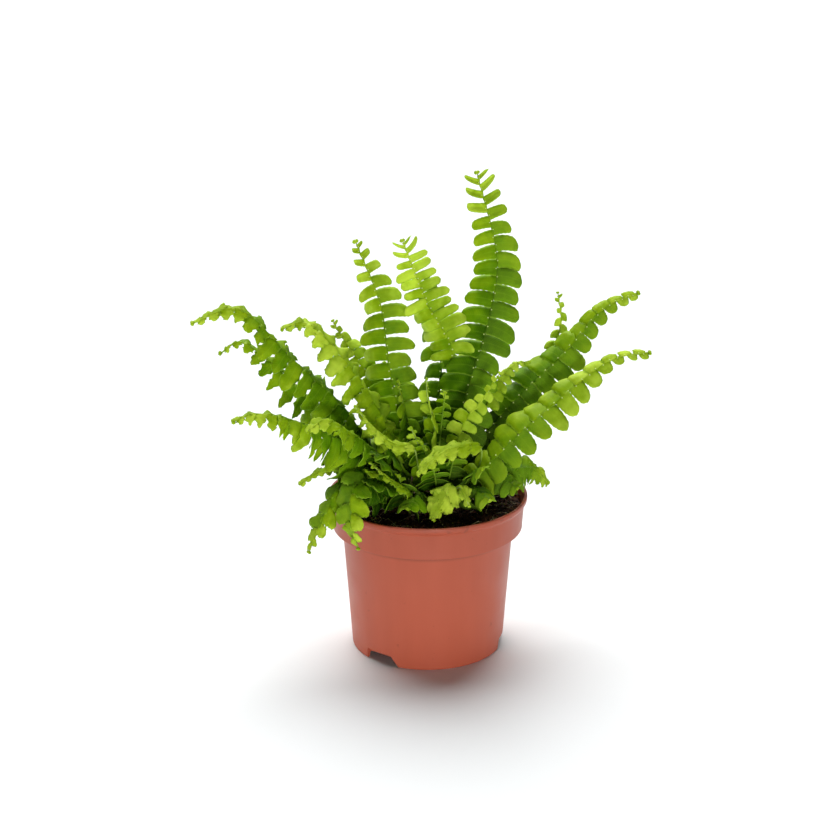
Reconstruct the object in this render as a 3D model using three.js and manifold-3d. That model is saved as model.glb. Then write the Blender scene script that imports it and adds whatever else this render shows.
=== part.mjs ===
// A potted sword fern: fifty arching fronds growing from one crown, in the peat of a round
// plastic nursery pot with a deep collar and three drain notches through its foot.
// Millimetres, +Z up. The origin is on the floor under the pot's axis, and -Y is the front.
import * as THREE from "three";
import { mergeVertices } from "three/addons/utils/BufferGeometryUtils.js";
import Module from "manifold-3d";

const wasm = await Module();
wasm.setup();

// ---- pot, a 12 cm nursery pot ----
const POT_HEIGHT = 96;
const LIP_RADIUS = 60;
const LIP_HEIGHT = 3;
const WALL = 1.5;
const COLLAR_TOP_RADIUS = 58.3;
const COLLAR_BOTTOM_RADIUS = 57.2;
const COLLAR_BOTTOM_HEIGHT = 77;
const STEP_HEIGHT = 1.5;
const BODY_TOP_RADIUS = 51.6;
const FOOT_RADIUS = 46;
const FLOOR_UNDERSIDE = 4;
const FLOOR_THICKNESS = 1.5;
const ROUND_SIDES = 44;

// ---- drain notches through the foot ----
const NOTCH_COUNT = 3;
const FIRST_NOTCH_DEG = 232.6;
const NOTCH_TOP = 7;
const NOTCH_WIDTH_AT_FLOOR = 24;
const NOTCH_WIDTH_AT_TOP = 19;
const NOTCH_DEPTH = 7;

// ---- peat ----
const GAP = 0.3;
const SOIL_LEVEL = 89.5;
const SOIL_MOUND = 2.5;
const SOIL_LUMP = 0.7;
const SOIL_RINGS = 4;
const STEM_DEPTH = 12;
const STEM_HOLE_SIDES = 6;

// ---- fronds ----
const STEM_WIDTH = 1.8;
const STEM_THICKNESS = 1.5;
const BLADE_THICKNESS = 0.65;
const STEM_STEP = 9;
const LEAFLET_FILL = 0.84;
const LEAFLET_SWEEP = 0.16;
const LEAFLET_SAG = 0.28;
const SWEEP_CURVE = 1.5;
const PLAIN_BELOW = 11.5;
const SHORTEST_LEAFLET = 2.5;
const TIP_CROWDING = 1.15;
const HANG_AT_STEM = 0.7;
const HANG_PER_MM = 0.045;
const CLEARANCE = 2.7;
const RIM_CLEARANCE = 3;

// Each frond: where its stem stands on the peat, then places along it up to its tip. `pairs` is how many
// pairs of leaflets, `reach` the longest leaflet, `taper` how early they shorten towards the tip, `bare`
// the share of the stem below the first pair, `roll` how far the blade is turned about its stem (degrees,
// 0 faces up and in), `droop` how far the leaflets hang below the blade (degrees) and `age` its colour,
// from 0 dark and grown to 1 pale and new.
const FRONDS = [
  {
    name: "frond_tall_centre",
    route: [[10, 8], [22, 12, 150], [36, 24, 196], [41, 34, 234], [29, 42, 283]],
    pairs: 18, reach: 17, taper: 0.65, bare: 0.1, roll: 29, droop: 6, age: 0.08,
  },
  {
    name: "frond_right_high",
    route: [[14, 3], [43, 14, 138], [80, 29, 172], [106, 39, 199], [128, 45, 208]],
    pairs: 14, reach: 16, taper: 1.8, bare: 0.13, roll: 42, droop: 12, age: 0.15,
  },
  {
    name: "frond_right_low",
    route: [[17, -7], [43, -20, 129], [78, -9, 158], [108, 3, 178], [132, 9, 181]],
    pairs: 13, reach: 15.5, taper: 2, bare: 0.09, roll: 42, droop: 12, age: 0.4,
  },
  {
    name: "frond_left_high",
    route: [[-13, -6], [-48, -16, 152], [-79, -26, 188], [-107, -33, 219], [-134, -36, 212]],
    pairs: 17, reach: 16, taper: 1.4, bare: 0.13, roll: -32, droop: 30, age: 0.25,
  },
  {
    name: "frond_left_middle",
    route: [[-14, 1], [-42, 3, 131], [-70, 6, 152], [-107, 12, 185], [-124, 14, 179]],
    pairs: 14, reach: 15.5, taper: 1.6, bare: 0.15, roll: -25, droop: 34, age: 0.15,
  },
  {
    name: "frond_left_light",
    route: [[-7, -6], [-29, -14, 152], [-54, -14, 190], [-71, -12, 205], [-85, -10, 201]],
    pairs: 14, reach: 15, taper: 1.2, bare: 0.15, roll: -32, droop: 28, age: 0.6,
  },
  {
    name: "frond_upright_left",
    route: [[-6, 6], [-22, 10, 167], [-28, 20, 207], [-43, 30, 244]],
    pairs: 13, reach: 19.5, taper: 1.3, bare: 0.2, roll: -57, droop: 16, age: 0.45,
  },
  {
    name: "frond_left_low",
    route: [[-13, -12], [-48, -34, 138], [-76, -50, 158], [-98, -58, 165], [-110, -62, 162]],
    pairs: 16, reach: 18, taper: 1.3, bare: 0.12, roll: -20, droop: 42, age: 0.28,
  },
  {
    name: "frond_light_upright",
    route: [[6, 14], [15, 19, 150], [14, 17, 182], [0, 14, 210], [-15, 8, 250]],
    pairs: 12, reach: 15.5, taper: 0.7, bare: 0.5, roll: -106, droop: 14, age: 0.75,
  },
  {
    name: "frond_dark_upright",
    route: [[-2, 12], [6, 20, 146], [8, 27, 170], [5, 33, 192], [-3, 40, 222]],
    pairs: 9, reach: 15, taper: 1, bare: 0.24, roll: 0, droop: 30, age: 0.12,
  },
  {
    name: "frond_left_front",
    route: [[-8, -15], [-31, -38, 135], [-47, -54, 154], [-58, -62, 163], [-68, -68, 158]],
    pairs: 12, reach: 13, taper: 1, bare: 0.14, roll: -25, droop: 30, age: 0.3,
  },
  {
    name: "frond_light_centre",
    route: [[8, -8], [20, -16, 142], [31, -20, 160], [42, -20, 178]],
    pairs: 8, reach: 8.5, taper: 1.6, bare: 0.3, roll: 88, droop: 14, age: 0.8,
  },
  {
    name: "frond_drooping_left",
    route: [[-16, -16], [-32, -30, 114], [-50, -43, 117], [-60, -53, 101], [-69, -56, 80]],
    pairs: 7, reach: 12.5, taper: 1.4, bare: 0.26, roll: -25, droop: 22, age: 0.32,
  },
  {
    name: "frond_drooping_front",
    route: [[-9, -19], [-28, -40, 118], [-42, -55, 119], [-44, -62, 103], [-40, -63, 85]],
    pairs: 6, reach: 12, taper: 1, bare: 0.3, roll: 0, droop: 16, age: 0.3,
  },
  {
    name: "frond_bright_front",
    route: [[20, -12], [31, -22, 124], [29, -33, 138], [19, -41, 140], [7, -46, 137], [-6, -52, 126]],
    pairs: 6, reach: 7, taper: 1, bare: 0.56, roll: -25, droop: 30, age: 0.85,
  },
  {
    name: "frond_bright_low",
    route: [[5, -20], [12, -36, 114], [10, -46, 111], [3, -51, 98]],
    pairs: 5, reach: 11.5, taper: 1, bare: 0.34, roll: 0, droop: 25, age: 1,
  },
  {
    name: "frond_bright_low_right",
    route: [[10, -20], [18, -38, 114], [24, -50, 106]],
    pairs: 4, reach: 8, taper: 1, bare: 0.34, roll: 0, droop: 25, age: 0.95,
  },
  {
    name: "frond_pale_young",
    route: [[-2, -14], [-6, -26, 124], [-9, -34, 137], [-20, -41, 142], [-31, -45, 152], [-42, -48, 167]],
    pairs: 7, reach: 6.5, taper: 1, bare: 0.5, roll: -30, droop: 40, age: 1,
  },
  {
    name: "frond_right_over_rim",
    route: [[20, 0], [36, -2, 103], [50, -2, 110], [62, 0, 111], [73, 2, 101]],
    pairs: 10, reach: 11, taper: 1, bare: 0.3, roll: 40, droop: 20, age: 0.35,
  },
  {
    name: "frond_dark_front_right",
    route: [[14, -18], [24, -34, 112], [36, -46, 108]],
    pairs: 6, reach: 14, taper: 1, bare: 0.16, roll: 20, droop: 35, age: 0.15,
  },
  {
    name: "frond_dark_low_left",
    route: [[-17, -8], [-36, -24, 117], [-56, -33, 124]],
    pairs: 7, reach: 13, taper: 1, bare: 0.16, roll: -20, droop: 24, age: 0.1,
  },
  {
    name: "frond_low_front_left",
    route: [[-22, -13], [-38, -28, 109], [-51, -30, 108]],
    pairs: 6, reach: 12, taper: 1, bare: 0.2, roll: -10, droop: 20, age: 0.05,
  },
  {
    name: "frond_low_front",
    route: [[0, -23], [-4, -38, 110], [-12, -49, 104]],
    pairs: 6, reach: 12, taper: 1, bare: 0.2, roll: 0, droop: 20, age: 0.1,
  },
  {
    name: "frond_dark_centre",
    route: [[4, -15], [5, -29, 110], [3, -37, 126]],
    pairs: 6, reach: 12, taper: 1, bare: 0.2, roll: 0, droop: 20, age: 0.1,
  },
  {
    name: "frond_low_right",
    route: [[23.5, -4.5], [38, -18, 113], [53, -26, 108]],
    pairs: 7, reach: 12, taper: 1, bare: 0.18, roll: 20, droop: 20, age: 0.1,
  },
  {
    name: "frond_small_centre",
    route: [[2, -7], [4, -18, 142], [0, -20, 161], [-1, -22, 175]],
    pairs: 5, reach: 9.5, taper: 1, bare: 0.36, roll: -60, droop: 14, age: 0.65,
  },
  {
    name: "frond_round_centre",
    route: [[-3, -9], [-4, -20, 127], [-10, -28, 147]],
    pairs: 6, reach: 8, taper: 1, bare: 0.28, roll: 0, droop: 15, age: 0.6,
  },
  {
    name: "frond_curly_left",
    route: [[-4, -20], [-10, -40, 110], [-22, -47, 122], [-34, -49, 133]],
    pairs: 7, reach: 5, taper: 1, bare: 0.36, roll: -30, droop: 35, age: 0.6,
  },
  {
    name: "frond_thin_left",
    route: [[-18, 5], [-34, 1, 111], [-51, -3, 115], [-64, -6, 112], [-77, -8, 104]],
    pairs: 9, reach: 5, taper: 1.2, bare: 0.4, roll: -20, droop: 30, age: 0.6,
  },
  {
    name: "frond_right_small_upright",
    route: [[16, 11], [48, 32, 128], [72, 49, 158], [82, 58, 184], [80, 62, 204]],
    pairs: 9, reach: 6.5, taper: 1.3, bare: 0.5, roll: 50, droop: 10, age: 0.75,
  },
  {
    name: "frond_fine_right",
    route: [[15, 7], [38, 18, 149], [50, 26, 167], [62, 30, 169]],
    pairs: 8, reach: 7, taper: 1, bare: 0.55, roll: 10, droop: 40, age: 0.8,
  },
  {
    name: "frond_left_small",
    route: [[-12, 10], [-30, 24, 148], [-43, 34, 170], [-53, 44, 182], [-58, 48, 190]],
    pairs: 9, reach: 9, taper: 1.6, bare: 0.45, roll: -50, droop: 10, age: 0.7,
  },
  {
    name: "frond_back_middle",
    route: [[0, 18], [2, 36, 128], [4, 54, 134], [7, 69, 114]],
    pairs: 9, reach: 14, taper: 1, bare: 0.14, roll: 0, droop: 20, age: 0.3,
  },
  {
    name: "frond_back_right",
    route: [[9, 17], [26, 38, 138], [42, 54, 144], [58, 66, 126]],
    pairs: 10, reach: 13, taper: 1, bare: 0.16, roll: 0, droop: 20, age: 0.35,
  },
  {
    name: "frond_back_left",
    route: [[-9, 16], [-26, 36, 138], [-42, 52, 145], [-58, 64, 128]],
    pairs: 10, reach: 13, taper: 1, bare: 0.16, roll: 0, droop: 20, age: 0.35,
  },
  {
    name: "frond_back_far_right",
    route: [[17, 15], [40, 30, 124], [60, 42, 136], [78, 52, 134]],
    pairs: 10, reach: 12, taper: 1, bare: 0.2, roll: 10, droop: 25, age: 0.4,
  },
  {
    name: "frond_back_far_left",
    route: [[-17, 12], [-42, 26, 124], [-66, 38, 132], [-84, 46, 118]],
    pairs: 10, reach: 13, taper: 1, bare: 0.18, roll: -10, droop: 25, age: 0.35,
  },
  {
    name: "frond_back_upright_right",
    route: [[6, 22], [16, 36, 148], [23, 50, 166], [28, 60, 170]],
    pairs: 10, reach: 12, taper: 1, bare: 0.24, roll: 0, droop: 20, age: 0.4,
  },
  {
    name: "frond_back_upright_left",
    route: [[-5, 21], [-14, 36, 144], [-21, 50, 159], [-27, 60, 159]],
    pairs: 10, reach: 12, taper: 1, bare: 0.24, roll: 0, droop: 20, age: 0.45,
  },
  {
    name: "frond_back_low_right",
    route: [[12, 21], [28, 44, 112], [38, 58, 107], [45, 68, 92]],
    pairs: 8, reach: 11, taper: 1, bare: 0.2, roll: 0, droop: 20, age: 0.5,
  },
  {
    name: "frond_back_low_left",
    route: [[-13, 20], [-26, 44, 112], [-36, 58, 107], [-43, 68, 92]],
    pairs: 8, reach: 11, taper: 1, bare: 0.2, roll: 0, droop: 20, age: 0.5,
  },
  {
    name: "frond_crown_front_left",
    route: [[-14, -18], [-24, -34, 118], [-36, -44, 126]],
    pairs: 6, reach: 10, taper: 1, bare: 0.2, roll: -20, droop: 24, age: 0.12,
  },
  {
    name: "frond_crown_front",
    route: [[6, -10], [1, -22, 122], [-4, -32, 139]],
    pairs: 6, reach: 13, taper: 1, bare: 0.24, roll: -30, droop: 30, age: 0.2,
  },
  {
    name: "frond_crown_front_right",
    route: [[15.5, -13], [25, -30, 118], [32, -41, 126]],
    pairs: 6, reach: 11, taper: 1, bare: 0.2, roll: 30, droop: 22, age: 0.1,
  },
  {
    name: "frond_crown_left",
    route: [[-10, -3], [-22, -14, 128], [-34, -24, 142]],
    pairs: 6, reach: 11, taper: 1, bare: 0.24, roll: -30, droop: 20, age: 0.15,
  },
  {
    name: "frond_crown_low_middle",
    route: [[9.5, -15.5], [13, -24, 116], [16, -28, 132]],
    pairs: 6, reach: 12, taper: 1, bare: 0.24, roll: 0, droop: 20, age: 0.15,
  },
  {
    name: "frond_crown_middle",
    route: [[4, 2], [8, -6, 140], [10, -14, 164]],
    pairs: 7, reach: 9, taper: 1, bare: 0.34, roll: -30, droop: 16, age: 0.2,
  },
  {
    name: "frond_crown_back_left",
    route: [[-4, 9], [-12, 6, 136], [-18, 2, 166]],
    pairs: 7, reach: 10, taper: 1, bare: 0.32, roll: -30, droop: 16, age: 0.2,
  },
  {
    name: "frond_low_centre_left",
    route: [[-10, -25], [-14, -36, 109], [-17, -41, 122]],
    pairs: 5, reach: 11, taper: 1, bare: 0.2, roll: 0, droop: 24, age: 0.15,
  },
  {
    name: "frond_low_far_right",
    route: [[22, 6], [37, 15, 110], [50, 22, 110]],
    pairs: 6, reach: 10, taper: 1, bare: 0.24, roll: 10, droop: 24, age: 0.15,
  },
];

// Leaflet length along the leafy part of a frond, as shares of `reach`, from its first pair to its tip.
const LENGTH_PROFILE = [0.92, 0.98, 1, 0.98, 0.92, 0.8, 0.64, 0.46, 0.28];
// Corners of a leaflet, as shares of its length and half its width: its widest place and its end.
const WAIST = 0.55;
const END_LOW = [0.96, -0.66];
const END_HIGH = [1, 0.7];
// Ways to bend a leaflet clear of its neighbours, tried in order: more droop in degrees, share of length.
const BENDS = [
  [0, 1], [14, 1], [-14, 1], [28, 0.9], [-28, 0.9],
  [0, 0.75], [20, 0.7], [-20, 0.7], [42, 0.7], [-42, 0.7], [0, 0.5], [30, 0.5], [-30, 0.5],
];

// ---- small helpers ----

// A repeatable draw from 0 to 1 for the two numbers given.
function draw(a, b) {
  const wave = Math.sin(a * 12.9898 + b * 78.233) * 43758.5453;
  return wave - Math.floor(wave);
}

function bareGeometry(geometry) {
  const plain = geometry.index ? geometry.toNonIndexed() : geometry.clone();
  plain.deleteAttribute("normal");
  plain.deleteAttribute("uv");
  return mergeVertices(plain, 1e-4);
}

function toSolid(geometry) {
  const merged = bareGeometry(geometry);
  const mesh = new wasm.Mesh({
    numProp: 3,
    vertProperties: new Float32Array(merged.attributes.position.array),
    triVerts: new Uint32Array(merged.index.array),
  });
  return new wasm.Manifold(mesh);
}

function toGeometry(solid) {
  const mesh = solid.getMesh();
  const geometry = new THREE.BufferGeometry();
  geometry.setAttribute("position", new THREE.BufferAttribute(mesh.vertProperties, 3));
  geometry.setIndex(new THREE.BufferAttribute(mesh.triVerts, 1));
  geometry.computeVertexNormals();
  return geometry;
}

function namedMesh(name, geometry, color, roughness) {
  const material = new THREE.MeshStandardMaterial({ color, roughness, metalness: 0, side: THREE.DoubleSide });
  const mesh = new THREE.Mesh(geometry, material);
  mesh.name = name;
  return mesh;
}

// A turned shape about the Z axis from [radius, height] pairs.
function turned(profile) {
  const points = profile.map(([radius, height]) => new THREE.Vector2(radius, height));
  return new THREE.LatheGeometry(points, ROUND_SIDES).rotateX(Math.PI / 2);
}

// ---- pot ----

function innerRadiusAt(height) {
  const slope = (BODY_TOP_RADIUS - FOOT_RADIUS) / COLLAR_BOTTOM_HEIGHT;
  return FOOT_RADIUS + slope * height - WALL;
}

function makePot() {
  const floorTop = FLOOR_UNDERSIDE + FLOOR_THICKNESS;
  const lipBottom = POT_HEIGHT - LIP_HEIGHT;
  const stepBottom = COLLAR_BOTTOM_HEIGHT - STEP_HEIGHT;
  const outside = [
    [0, FLOOR_UNDERSIDE],
    [FOOT_RADIUS - 2.6, FLOOR_UNDERSIDE],
    [FOOT_RADIUS - 2.2, 0],
    [FOOT_RADIUS - 0.7, 0],
    [FOOT_RADIUS, 1],
    [BODY_TOP_RADIUS, stepBottom],
    [BODY_TOP_RADIUS + 0.9, stepBottom + 0.4],
    [COLLAR_BOTTOM_RADIUS - 0.8, stepBottom + 1],
    [COLLAR_BOTTOM_RADIUS, COLLAR_BOTTOM_HEIGHT + 0.6],
    [COLLAR_TOP_RADIUS, lipBottom - 1.5],
    [LIP_RADIUS - 0.3, lipBottom + 0.4],
    [LIP_RADIUS, lipBottom + 1.6],
    [LIP_RADIUS - 0.3, POT_HEIGHT - 0.3],
    [LIP_RADIUS - 0.9, POT_HEIGHT],
    [LIP_RADIUS - 1.6, POT_HEIGHT - 0.4],
  ];
  const inside = [
    [COLLAR_TOP_RADIUS - WALL, lipBottom - 1],
    [COLLAR_BOTTOM_RADIUS - WALL, COLLAR_BOTTOM_HEIGHT + 2],
    [innerRadiusAt(stepBottom), stepBottom],
    [innerRadiusAt(floorTop), floorTop],
    [0, floorTop],
  ];
  const notches = Array.from({ length: NOTCH_COUNT }, (_, i) => toSolid(notchCutter(i)));
  return notches.reduce((pot, notch) => pot.subtract(notch), toSolid(turned([...outside, ...inside])));
}

// The notch seen from outside has one upright side and one slanted side.
function notchCutter(i) {
  const outline = new THREE.Shape();
  outline.moveTo(-NOTCH_WIDTH_AT_FLOOR / 2, -1);
  outline.lineTo(NOTCH_WIDTH_AT_FLOOR / 2, -1);
  outline.lineTo(NOTCH_WIDTH_AT_TOP - NOTCH_WIDTH_AT_FLOOR / 2, NOTCH_TOP);
  outline.lineTo(1 - NOTCH_WIDTH_AT_FLOOR / 2, NOTCH_TOP);
  outline.closePath();
  const angle = THREE.MathUtils.degToRad(FIRST_NOTCH_DEG + (360 / NOTCH_COUNT) * i);
  return new THREE.ExtrudeGeometry(outline, { depth: NOTCH_DEPTH, bevelEnabled: false })
    .rotateX(Math.PI / 2)
    .translate(0, -(FOOT_RADIUS - NOTCH_DEPTH + 3), 0)
    .rotateZ(angle + Math.PI / 2);
}

// ---- peat ----

function soilHeight(x, y) {
  const fromAxis = Math.hypot(x, y) / COLLAR_TOP_RADIUS;
  const lumps = Math.sin(x * 0.31 + 1) * Math.cos(y * 0.27) + 0.6 * Math.sin(x * 0.13 - y * 0.21);
  return SOIL_LEVEL + SOIL_MOUND * (1 - fromAxis ** 2) + SOIL_LUMP * lumps;
}

function makeSoil() {
  const bottom = FLOOR_UNDERSIDE + FLOOR_THICKNESS + GAP;
  const stepBottom = COLLAR_BOTTOM_HEIGHT - STEP_HEIGHT;
  const topRadius = COLLAR_TOP_RADIUS - WALL - GAP - 0.2;
  const profile = [
    [0, bottom],
    [innerRadiusAt(bottom) - GAP, bottom],
    [innerRadiusAt(stepBottom) - GAP, stepBottom],
    [COLLAR_BOTTOM_RADIUS - WALL - GAP, COLLAR_BOTTOM_HEIGHT + 2.4],
  ];
  for (let ring = 0; ring <= SOIL_RINGS; ring += 1) {
    profile.push([topRadius * (1 - ring / SOIL_RINGS), SOIL_LEVEL]);
  }
  const geometry = turned(profile);
  const position = geometry.attributes.position;
  for (let i = 0; i < position.count; i += 1) {
    if (position.getZ(i) > SOIL_LEVEL - 1) {
      position.setZ(i, soilHeight(position.getX(i), position.getY(i)));
    }
  }
  return FRONDS.reduce((soil, frond) => soil.subtract(toSolid(stemHole(frond))), toSolid(geometry));
}

function stemHole({ route }) {
  const [x, y] = route[0];
  const radius = Math.hypot(STEM_WIDTH, STEM_THICKNESS) / 2 + 2 * GAP;
  const length = STEM_DEPTH + 10;
  return new THREE.CylinderGeometry(radius, radius, length, STEM_HOLE_SIDES)
    .rotateX(Math.PI / 2)
    .translate(x, y, soilHeight(x, y) - STEM_DEPTH - 2 * GAP + length / 2);
}

// ---- fronds ----

// The stem's middle line, and at each distance along it the directions across the blade and out of it.
class Stem {
  constructor(frond) {
    const [[x, y], ...places] = frond.route;
    const ground = soilHeight(x, y);
    const points = [[x, y, ground], ...places].map((place) => new THREE.Vector3(...place));
    const tip = points[points.length - 1];
    this.foot = points[0];
    this.curve = new THREE.CatmullRomCurve3(points, false, "catmullrom", 0.5);
    this.length = this.curve.getLength();
    const outward = Math.atan2(tip.y - y, tip.x - x);
    this.side = new THREE.Vector3(-Math.sin(outward), Math.cos(outward), 0);
    this.roll = THREE.MathUtils.degToRad(frond.roll);
  }

  // `along` is a distance from the peat's surface, negative in the peat, where the stem stands upright.
  at(along) {
    const share = THREE.MathUtils.clamp(along / this.length, 0, 1);
    const middle = this.curve.getPointAt(share);
    const forward = this.curve.getTangentAt(share);
    if (along <= 0) {
      middle.z += along;
      forward.set(0, 0, 1);
    }
    const flat = this.side.clone().addScaledVector(forward, -this.side.dot(forward)).normalize();
    const across = flat.applyAxisAngle(forward, this.roll);
    const out = forward.clone().cross(across);
    return { middle, across, out };
  }
}

// A point of the blade: `along` the stem, `sideways` from its middle (positive is the left half), on the
// face given by `face` (-0.5 or 0.5), with the half blade hanging by `droop` radians.
function bladePoint(stem, along, sideways, face, droop) {
  const { middle, across, out } = stem.at(along);
  const hand = Math.sign(sideways);
  const half = Math.min(Math.abs(sideways), STEM_WIDTH / 2);
  const beyond = Math.abs(sideways) - half;
  middle.addScaledVector(across, hand * half);
  if (beyond < 1e-6) return middle.addScaledVector(out, face * STEM_THICKNESS);
  const hang = droop * (HANG_AT_STEM + HANG_PER_MM * beyond);
  middle.addScaledVector(across, hand * beyond * Math.cos(hang));
  middle.addScaledVector(out, -beyond * Math.sin(hang));
  middle.addScaledVector(out, face * BLADE_THICKNESS * Math.cos(hang));
  return middle.addScaledVector(across, hand * face * BLADE_THICKNESS * Math.sin(hang));
}

// Distances along the stem where the leaflets of one side begin, closer together towards the tip.
function stations(frond, stem) {
  const leafy = stem.length * (1 - frond.bare);
  const marks = [];
  for (let i = 0; i <= frond.pairs; i += 1) {
    const share = i / (frond.pairs + 0.5);
    marks.push(stem.length - leafy * (1 - share) ** TIP_CROWDING);
  }
  return marks;
}

function leafletLength(frond, share, luck) {
  const place = share * (LENGTH_PROFILE.length - 1);
  const low = Math.min(Math.floor(place), LENGTH_PROFILE.length - 2);
  const shape = THREE.MathUtils.lerp(LENGTH_PROFILE[low], LENGTH_PROFILE[low + 1], place - low);
  return Math.max(SHORTEST_LEAFLET, frond.reach * shape ** frond.taper * (0.93 + 0.14 * luck));
}

// How far a leaflet's end lies towards the frond's tip, as a share of its length: on a level stem it leans
// forward, and on a climbing stem it sags back under its weight.
function leafletSweep(stem, along) {
  return LEAFLET_SWEEP - LEAFLET_SAG * stem.curve.getTangentAt(along / stem.length).z;
}

// The leaflet between two stations as flat outlines in (along, sideways): its foot and its end, or both
// in one outline where it is small.
function leafletOutlines(stem, from, to, hand, length) {
  const middle = (from + to) / 2;
  const pitch = to - from;
  const root = STEM_WIDTH / 2;
  const sweep = leafletSweep(stem, middle) * length;
  const place = (reach, breadth) => [
    middle + breadth * pitch * LEAFLET_FILL / 2 + sweep * reach ** SWEEP_CURVE,
    hand * (root + length * reach),
  ];
  const rootLow = [from, hand * root];
  const rootHigh = [to, hand * root];
  const endLow = place(...END_LOW);
  const endHigh = place(...END_HIGH);
  if (length < PLAIN_BELOW) return [[rootLow, endLow, endHigh, rootHigh]];
  const waistLow = place(WAIST, -1);
  const waistHigh = place(WAIST, 1);
  return [
    [rootLow, waistLow, waistHigh, rootHigh],
    [waistLow, endLow, endHigh, waistHigh],
  ];
}

// Places already taken by stems and leaflets, kept in a coarse grid of cubes.
class TakenSpace {
  constructor() {
    this.cubes = new Map();
  }

  static key(point, dx, dy, dz) {
    const cube = (value) => Math.floor(value / CLEARANCE);
    return `${cube(point.x) + dx},${cube(point.y) + dy},${cube(point.z) + dz}`;
  }

  add(point, owner) {
    const key = TakenSpace.key(point, 0, 0, 0);
    if (!this.cubes.has(key)) this.cubes.set(key, []);
    this.cubes.get(key).push({ point, owner });
  }

  isNear(point, owner) {
    for (let dx = -1; dx <= 1; dx += 1) {
      for (let dy = -1; dy <= 1; dy += 1) {
        for (let dz = -1; dz <= 1; dz += 1) {
          const near = this.cubes.get(TakenSpace.key(point, dx, dy, dz)) ?? [];
          const others = near.filter((taken) => taken.owner !== owner);
          if (others.some((taken) => taken.point.distanceTo(point) < CLEARANCE)) return true;
        }
      }
    }
    return false;
  }
}

// True in the peat, in the pot or close to its rim.
function inPot(point) {
  const fromAxis = Math.hypot(point.x, point.y);
  if (fromAxis > LIP_RADIUS + RIM_CLEARANCE) return false;
  if (fromAxis > COLLAR_TOP_RADIUS - RIM_CLEARANCE) return point.z < POT_HEIGHT + RIM_CLEARANCE;
  return point.z < soilHeight(point.x, point.y) + 1.5;
}

// Points spread over a leaflet's outlines, to test it against what is already there.
function leafletSamples(stem, outlines, droop) {
  const samples = [];
  const mix = (a, b, share) => [a[0] + (b[0] - a[0]) * share, a[1] + (b[1] - a[1]) * share];
  const steps = outlines.length > 1 ? 3 : 4;
  for (const [rootLow, endLow, endHigh, rootHigh] of outlines) {
    for (let i = 1; i <= steps; i += 1) {
      const low = mix(rootLow, endLow, i / steps);
      const high = mix(rootHigh, endHigh, i / steps);
      for (const between of [0, 0.33, 0.67, 1]) {
        const [along, sideways] = mix(low, high, between);
        samples.push(bladePoint(stem, along, sideways, 0, droop));
      }
    }
  }
  return samples;
}

function edgeKey(a, b) {
  const text = (point) => `${Math.fround(point[0])} ${Math.fround(point[1])}`;
  return [text(a), text(b)].sort().join(" | ");
}

// Joins flat panels that share edges into one closed blade: each panel is extruded by the blade's
// thickness, the walls between neighbours are dropped, and every point is laid on the frond's curve.
function joinPanels(stem, panels) {
  const uses = new Map();
  for (const { outline } of panels) {
    outline.forEach((point, i) => {
      const key = edgeKey(point, outline[(i + 1) % outline.length]);
      uses.set(key, (uses.get(key) ?? 0) + 1);
    });
  }
  const laid = [];
  for (const { outline, droop } of panels) {
    const shape = new THREE.Shape(outline.map((point) => new THREE.Vector2(...point)));
    const slab = new THREE.ExtrudeGeometry(shape, { depth: 1, bevelEnabled: false });
    const corners = slab.attributes.position;
    for (let i = 0; i < corners.count; i += 3) {
      const triangle = [0, 1, 2].map((k) => [corners.getX(i + k), corners.getY(i + k), corners.getZ(i + k)]);
      const isWall = new Set(triangle.map((corner) => corner[2])).size > 1;
      const [a, b] = [...new Map(triangle.map((corner) => [edgeKey(corner, corner), corner])).values()];
      if (isWall && uses.get(edgeKey(a, b)) > 1) continue;
      for (const [along, sideways, height] of triangle) {
        laid.push(...bladePoint(stem, along, sideways, height - 0.5, droop).toArray());
      }
    }
  }
  const geometry = new THREE.BufferGeometry();
  geometry.setAttribute("position", new THREE.Float32BufferAttribute(laid, 3));
  return bareGeometry(geometry);
}

// The stem from its end in the peat up to the first leaflets, as one panel for each step.
function bareStemPanels(stem, leftStart, rightStart) {
  const root = STEM_WIDTH / 2;
  const steps = Math.max(1, Math.round(leftStart / STEM_STEP));
  const marks = [-STEM_DEPTH];
  for (let i = 0; i < steps; i += 1) marks.push((leftStart * i) / steps);
  marks.push(leftStart);
  return marks.slice(1).map((to, i) => {
    const from = marks[i];
    const rightTo = i === steps ? rightStart : to;
    return { outline: [[from, root], [from, -root], [rightTo, -root], [to, root]], droop: 0 };
  });
}

function makeFrond(frond, index, taken) {
  const stem = new Stem(frond);
  const root = STEM_WIDTH / 2;
  const left = stations(frond, stem);
  const right = left.map((mark, i) => (mark + (left[i + 1] ?? stem.length)) / 2);
  const panels = bareStemPanels(stem, left[0], right[0]);
  for (let i = 0; i < frond.pairs; i += 1) {
    const outline = [[left[i], root], [right[i], -root], [right[i + 1], -root], [left[i + 1], root]];
    panels.push({ outline, droop: 0 });
    for (const hand of [1, -1]) {
      const marks = hand > 0 ? left : right;
      const luck = draw(index + 1, 2 * i + (hand + 1) / 2);
      const length = leafletLength(frond, i / (frond.pairs - 1), luck);
      const droop = frond.droop + 8 * (luck - 0.5);
      for (const [more, share] of BENDS) {
        const outlines = leafletOutlines(stem, marks[i], marks[i + 1], hand, length * share);
        const hang = THREE.MathUtils.degToRad(droop + more);
        const samples = leafletSamples(stem, outlines, hang);
        if (samples.some((point) => inPot(point) || taken.isNear(point, index))) continue;
        samples.forEach((point) => taken.add(point, index));
        outlines.forEach((leaf) => panels.push({ outline: hand > 0 ? leaf : leaf.reverse(), droop: hang }));
        break;
      }
    }
  }
  const tip = [[left[frond.pairs], root], [right[frond.pairs], -root], [stem.length, 0]];
  panels.push({ outline: tip, droop: 0 });
  return joinPanels(stem, panels);
}

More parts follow.
